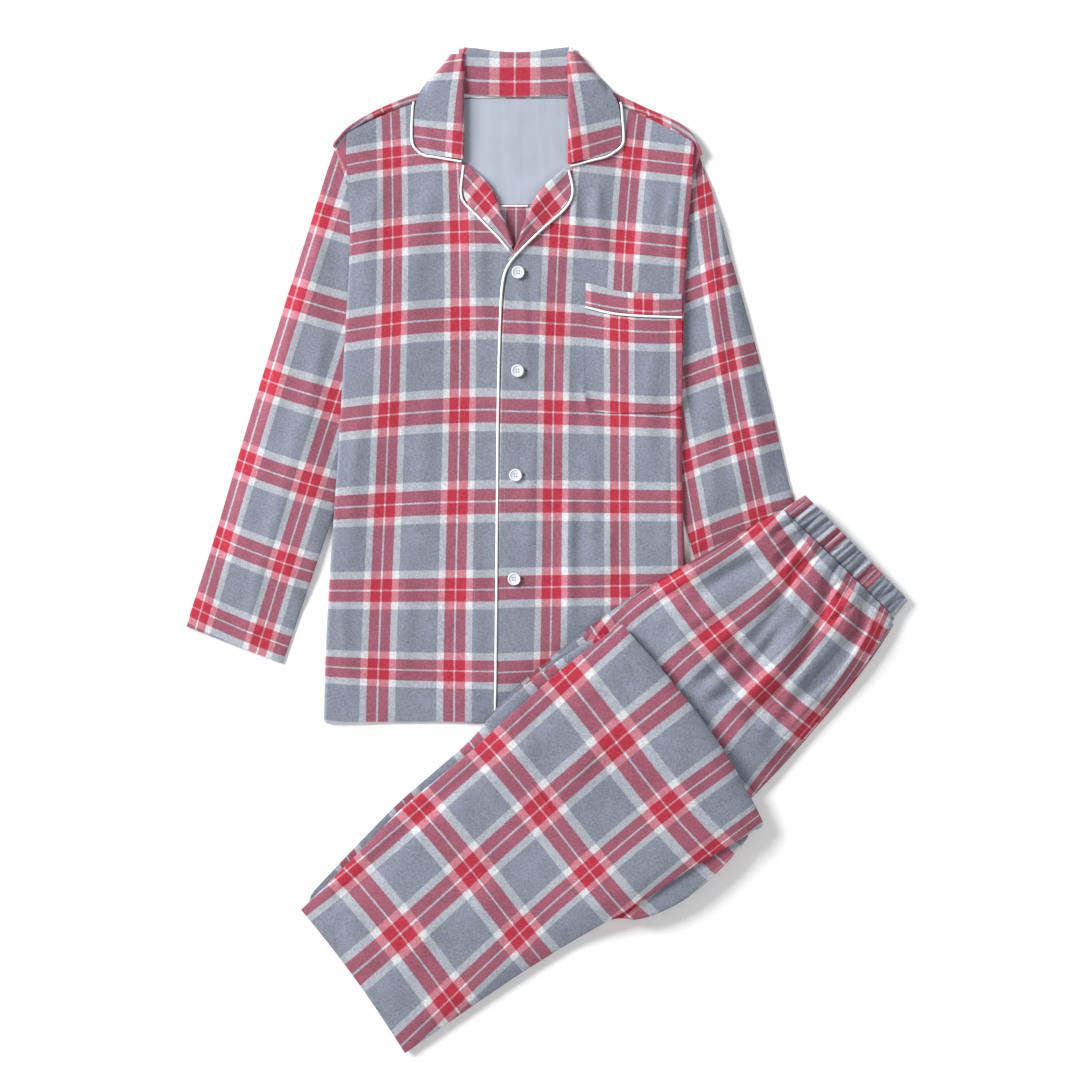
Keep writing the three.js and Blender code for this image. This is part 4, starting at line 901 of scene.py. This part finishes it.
class PYJAMA_OT_shirt_body(bpy.types.Operator):
    """Back and both fronts of the shirt"""

    bl_idname = "pyjama.shirt_body"
    bl_label = "Shirt Body"

    def execute(self, context):
        back = cloth_piece("shirt_back", 2, under_back)
        points = faces_of(back.data)
        x, y = on_plan(points)
        ends = (y < 172) & (np.abs(x - 519) > 160)
        lay_plaid(back.data, "shoulders", ((y < 131) | ends) & (points[:, 2] > 2.6 * MM))
        cloth_piece("front_right", 3, over_shirt)
        cloth_piece("front_left", 3, over_shirt)
        return {"FINISHED"}


class PYJAMA_OT_sleeves(bpy.types.Operator):
    """Both sleeves, flattened tubes with open cuffs"""

    bl_idname = "pyjama.sleeves"
    bl_label = "Sleeves"

    def execute(self, context):
        for side in ("right", "left"):
            cloth_piece(f"sleeve_{side}", 3, over_sleeve, rim=TUBE_RIM)
        return {"FINISHED"}


class PYJAMA_OT_collar(bpy.types.Operator):
    """Collar, lapels and the pale facing inside the back neck"""

    bl_idname = "pyjama.collar"
    bl_label = "Collar and Lapels"

    def execute(self, context):
        collar = cloth_piece(
            "collar", 2, over_shirt,
            plaid="collar_back")
        x, _y = on_plan(faces_of(collar.data))
        lay_plaid(collar.data, "collar_right", x < 465)
        lay_plaid(collar.data, "collar_left", x > 567.6)
        for side in ("right", "left"):
            cloth_piece(f"lapel_{side}", 3, over_shirt)
        mesh = cloth_copy("neck_facing", 3)
        tint = settings("pyjama_trim").facing_color
        cotton = material("pale cotton facing", plain_cotton, tint, 0.16 * MM, 9000.0)
        facing = show(mesh, "neck_facing_cloth", cotton, "facing", "neck_facing")
        return {"FINISHED"}


class PYJAMA_OT_pocket(bpy.types.Operator):
    """Chest pocket and its turned-back band"""

    bl_idname = "pyjama.pocket"
    bl_label = "Chest Pocket"

    def execute(self, context):
        cloth_piece("pocket_bag", 3, over_pocket)
        cloth_piece("pocket_band", 3, over_shirt)
        return {"FINISHED"}


class PYJAMA_OT_buttons(bpy.types.Operator):
    """Four sewn-on shirt buttons with their buttonholes"""

    bl_idname = "pyjama.buttons"
    bl_label = "Buttons"

    def execute(self, context):
        resin = material("white button resin", button_resin)
        thread = material("white sewing thread", matt, (0.75, 0.76, 0.78))
        dark = material("buttonhole stitching", matt, (0.035, 0.04, 0.055))
        front = bpy.data.objects["front_left_cloth"]
        for number in range(1, 5):
            node = f"button_{number}"
            low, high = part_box(node)
            centre = (low + high) / 2
            foot = low.z + float(shirt_relief(np.array([centre]))[0])
            disc = button_mesh(high.x - low.x, high.z - low.z)
            disc.transform(Matrix.Translation((centre.x, centre.y, foot)))
            show(disc, node + "_disc", resin, "button", node, sharp=35)
            strands = thread_mesh(Vector((centre.x, centre.y, foot + THREAD_HEIGHT)))
            show(strands, node + "_thread", thread, "button", sharp=0)
            hole = buttonhole_mesh()
            spot = (centre.x + BUTTONHOLE_OFFSET[0], centre.y + BUTTONHOLE_OFFSET[1])
            hole.transform(Matrix.Translation((*spot, top_of(front, spot) + BUTTONHOLE_LIFT)))
            show(hole, node + "_buttonhole", dark, "flannel", sharp=0)
        return {"FINISHED"}


def button_mesh(width, height):
    """A dished disc with a raised rim, its foot rounded, and four holes through it."""
    radius = width / 2
    # Half of the section, from the middle of the foot to the middle of the dish: shares of radius and height.
    outline = [
        (0.0, 0.0), (0.76, 0.0), (0.93, 0.12), (0.995, 0.36), (1.0, 0.58), (0.975, 0.82), (0.93, 0.96),
        (0.87, 1.0), (0.80, 0.97), (0.745, 0.86), (0.70, 0.73), (0.63, 0.67), (0.40, 0.64), (0.0, 0.63),
    ]
    bm = bmesh.new()
    corners = [bm.verts.new((r * radius, 0, z * height)) for r, z in outline]
    edges = [bm.edges.new(pair) for pair in zip(corners, corners[1:])]
    bmesh.ops.spin(bm, geom=corners + edges, cent=(0, 0, 0), axis=(0, 0, 1), angle=2 * math.pi, steps=64,
                   use_merge=True)
    bmesh.ops.remove_doubles(bm, verts=bm.verts, dist=1e-6)
    bmesh.ops.recalc_face_normals(bm, faces=bm.faces)
    body = placed("button_body", made_mesh(bm, "button_body"))
    drills = bmesh.new()
    for x, y in ((1, 1), (1, -1), (-1, 1), (-1, -1)):
        made = bmesh.ops.create_cone(
            drills, segments=16, radius1=HOLE_RADIUS, radius2=HOLE_RADIUS, depth=height * 3, cap_ends=True,
            cap_tris=False)
        bmesh.ops.translate(drills, verts=made["verts"], vec=(x * HOLE_OFFSET, y * HOLE_OFFSET, height / 2))
    drill = placed("drills", made_mesh(drills, "drills"))
    cut = body.modifiers.new("Holes", "BOOLEAN")
    cut.object = drill
    cut.operation = "DIFFERENCE"
    cut.solver = "EXACT"
    drilled = evaluated_mesh(body)
    for thing in (body, drill):
        bpy.data.objects.remove(thing)
    return drilled


def thread_mesh(centre):
    """Two short bars of sewing thread, of two strands each, between the button's holes."""
    bm = bmesh.new()
    for side in (-1, 1):
        for strand in (-STRAND_OFFSET, STRAND_OFFSET):
            place = Matrix.Translation(centre + Vector((side * HOLE_OFFSET + strand, 0, 0)))
            bead(bm, place, (0.00023, 0.0019, 0.00016), (10, 6))
    return made_mesh(bm, "thread")


def buttonhole_mesh():
    """The worked end of a buttonhole that shows beside a fastened button."""
    bm = bmesh.new()
    for k in range(7):
        place = Matrix.Translation((k * 0.0004 - 0.0016, 0.0001 * math.sin(k * 2.3), 0))
        bead(bm, place, (0.00024, 0.00075, 0.0002))
    return made_mesh(bm, "buttonhole")


class PYJAMA_OT_piping(bpy.types.Operator):
    """White corded piping along the collar, lapels, front edge, pocket band and facing"""

    bl_idname = "pyjama.piping"
    bl_label = "Piping"

    def execute(self, context):
        trim = settings("pyjama_trim")
        cotton = material("white cotton piping", plain_cotton, trim.piping_color, 0.12 * MM)
        for run in ("pocket", "collar_right", "collar_left", "lapel_right", "front_left", "neck_facing"):
            node = f"piping_{run}"
            mesh = cloth_copy(node, 2, ROUND_RIM)
            points = points_of(mesh)
            points += normals_of(mesh) * trim.piping_plump
            if run != "neck_facing":
                points[:, 2] += shirt_relief(points)
            set_points(mesh, points)
            show(mesh, node + "_cord", cotton, "piping", node)
        return {"FINISHED"}


class PYJAMA_OT_trousers(bpy.types.Operator):
    """Folded legs with their soft creases, and the layers between them"""

    bl_idname = "pyjama.trousers"
    bl_label = "Folded Trousers"

    def execute(self, context):
        layers = cloth_piece(
            "folded_layers", 2, between_legs,
            rim=ROUND_RIM)
        u, v = on_trousers(faces_of(layers.data))
        lay_plaid(layers.data, "leg_upper", (u > 455) & (v > 40))
        lay_plaid(layers.data, "under_edge", (u > 520) & (v < 10))
        cloth_piece("leg_upper", 3, thigh_relief,
                    rim=TUBE_RIM)
        cloth_piece("leg_lower", 3, shin_relief,
                    rim=TUBE_RIM)
        return {"FINISHED"}


class PYJAMA_OT_waistband(bpy.types.Operator):
    """The gathered elastic waistband"""

    bl_idname = "pyjama.waistband"
    bl_label = "Waistband"

    def execute(self, context):
        cloth_piece("waistband", 3, waist_relief,
                    rim=TUBE_RIM)
        return {"FINISHED"}


class PYJAMA_OT_stitching(bpy.types.Operator):
    """Hem, placket and pocket stitches in fine thread"""

    bl_idname = "pyjama.stitching"
    bl_label = "Stitching"

    def execute(self, context):
        thread = material("grey seam thread", matt, (0.30, 0.33, 0.40))
        fronts = bpy.data.objects["front_right_cloth"], bpy.data.objects["front_left_cloth"]
        runs = {
            "hem_stitches_right": (fronts[0], [(326, 714), (420, 714.5), (488, 714.5)]),
            "placket_stitches": (fronts[0], [(473, 712), (474, 640), (475, 560)]),
            "front_edge_stitches": (fronts[1], [(504, 700), (504.5, 500), (507, 300)]),
        }
        for name, (piece, marks) in runs.items():
            stitch_run(plan_line(piece, marks, 24), name, thread)
        band = bpy.data.objects["pocket_band_cloth"]
        for name, marks in {
            "pocket_mark_left": [(592, 285.4), (589, 302)],
            "pocket_mark_right": [(675, 294.5), (681.5, 308)],
        }.items():
            stitch_run(plan_line(band, marks, 8), name, thread)
        return {"FINISHED"}


class PYJAMA_OT_studio(bpy.types.Operator):
    """Pale floor, soft lights and a camera straight above"""

    bl_idname = "pyjama.studio"
    bl_label = "Studio"

    def execute(self, context):
        studio = settings("pyjama_studio")
        scene = context.scene
        bm = bmesh.new()
        bmesh.ops.create_grid(bm, x_segments=2, y_segments=2, size=6.0)
        floor = placed("floor", made_mesh(bm, "floor"))
        floor.data.materials.append(material("pale floor", matt, studio.floor_color, 0.9))
        self.light("key", KEY_PLACE, KEY_WIDTH, studio.key)
        self.light("fill", FILL_PLACE, FILL_WIDTH, studio.fill)
        world = bpy.data.worlds.new("room")
        world.use_nodes = True
        background = world.node_tree.nodes["Background"]
        background.inputs["Color"].default_value = (1.0, 1.0, 1.0, 1.0)
        background.inputs["Strength"].default_value = studio.ambience
        scene.world = world
        camera = placed("camera", bpy.data.cameras.new("camera"))
        camera.data.lens = studio.lens
        camera.data.sensor_width = 36
        camera.data.clip_end = 50
        camera.location = (*CAMERA_OVER, studio.camera_height)
        scene.camera = camera
        scene.view_settings.view_transform = "Standard"
        return {"FINISHED"}

    def light(self, name, place, size, power):
        """A round soft light that faces the middle of the set."""
        lamp = bpy.data.lights.new(name, "AREA")
        lamp.shape = "DISK"
        lamp.size = size
        lamp.energy = power
        holder = placed(name, lamp)
        holder.location = place
        holder.rotation_euler = (-Vector(place)).to_track_quat("-Z", "Y").to_euler()


class PYJAMA_PT_panel(bpy.types.Panel):
    """Pieces and settings of the pyjama set"""

    bl_idname = "PYJAMA_PT_panel"
    bl_label = "Pyjama Set"
    bl_space_type = "VIEW_3D"
    bl_region_type = "UI"
    bl_category = "Pyjama Set"

    def draw(self, context):
        for group in GROUPS:
            box = self.layout.box()
            chosen = settings(group)
            for name in chosen.bl_rna.properties.keys():
                if name not in ("rna_type", "name"):
                    box.prop(chosen, name)
        for operator in OPERATORS:
            self.layout.operator(operator.bl_idname)


GROUPS = {"pyjama_plaid": PlaidSettings, "pyjama_trim": TrimSettings, "pyjama_studio": StudioSettings}
OPERATORS = (
    PYJAMA_OT_shirt_body, PYJAMA_OT_sleeves, PYJAMA_OT_collar, PYJAMA_OT_pocket, PYJAMA_OT_buttons,
    PYJAMA_OT_piping, PYJAMA_OT_trousers, PYJAMA_OT_waistband, PYJAMA_OT_stitching, PYJAMA_OT_studio,
)


def register():
    for cls in (*GROUPS.values(), *OPERATORS, PYJAMA_PT_panel):
        bpy.utils.register_class(cls)
    for name, cls in GROUPS.items():
        setattr(bpy.types.Scene, name, PointerProperty(type=cls))


def unregister():
    for name in GROUPS:
        delattr(bpy.types.Scene, name)
    for cls in reversed((*GROUPS.values(), *OPERATORS, PYJAMA_PT_panel)):
        bpy.utils.unregister_class(cls)


def main():
    register()
    for operator in OPERATORS:
        group, name = operator.bl_idname.split(".")
        getattr(getattr(bpy.ops, group), name)()
    bpy.context.view_layer.update()


if __name__ == "__main__":
    main()
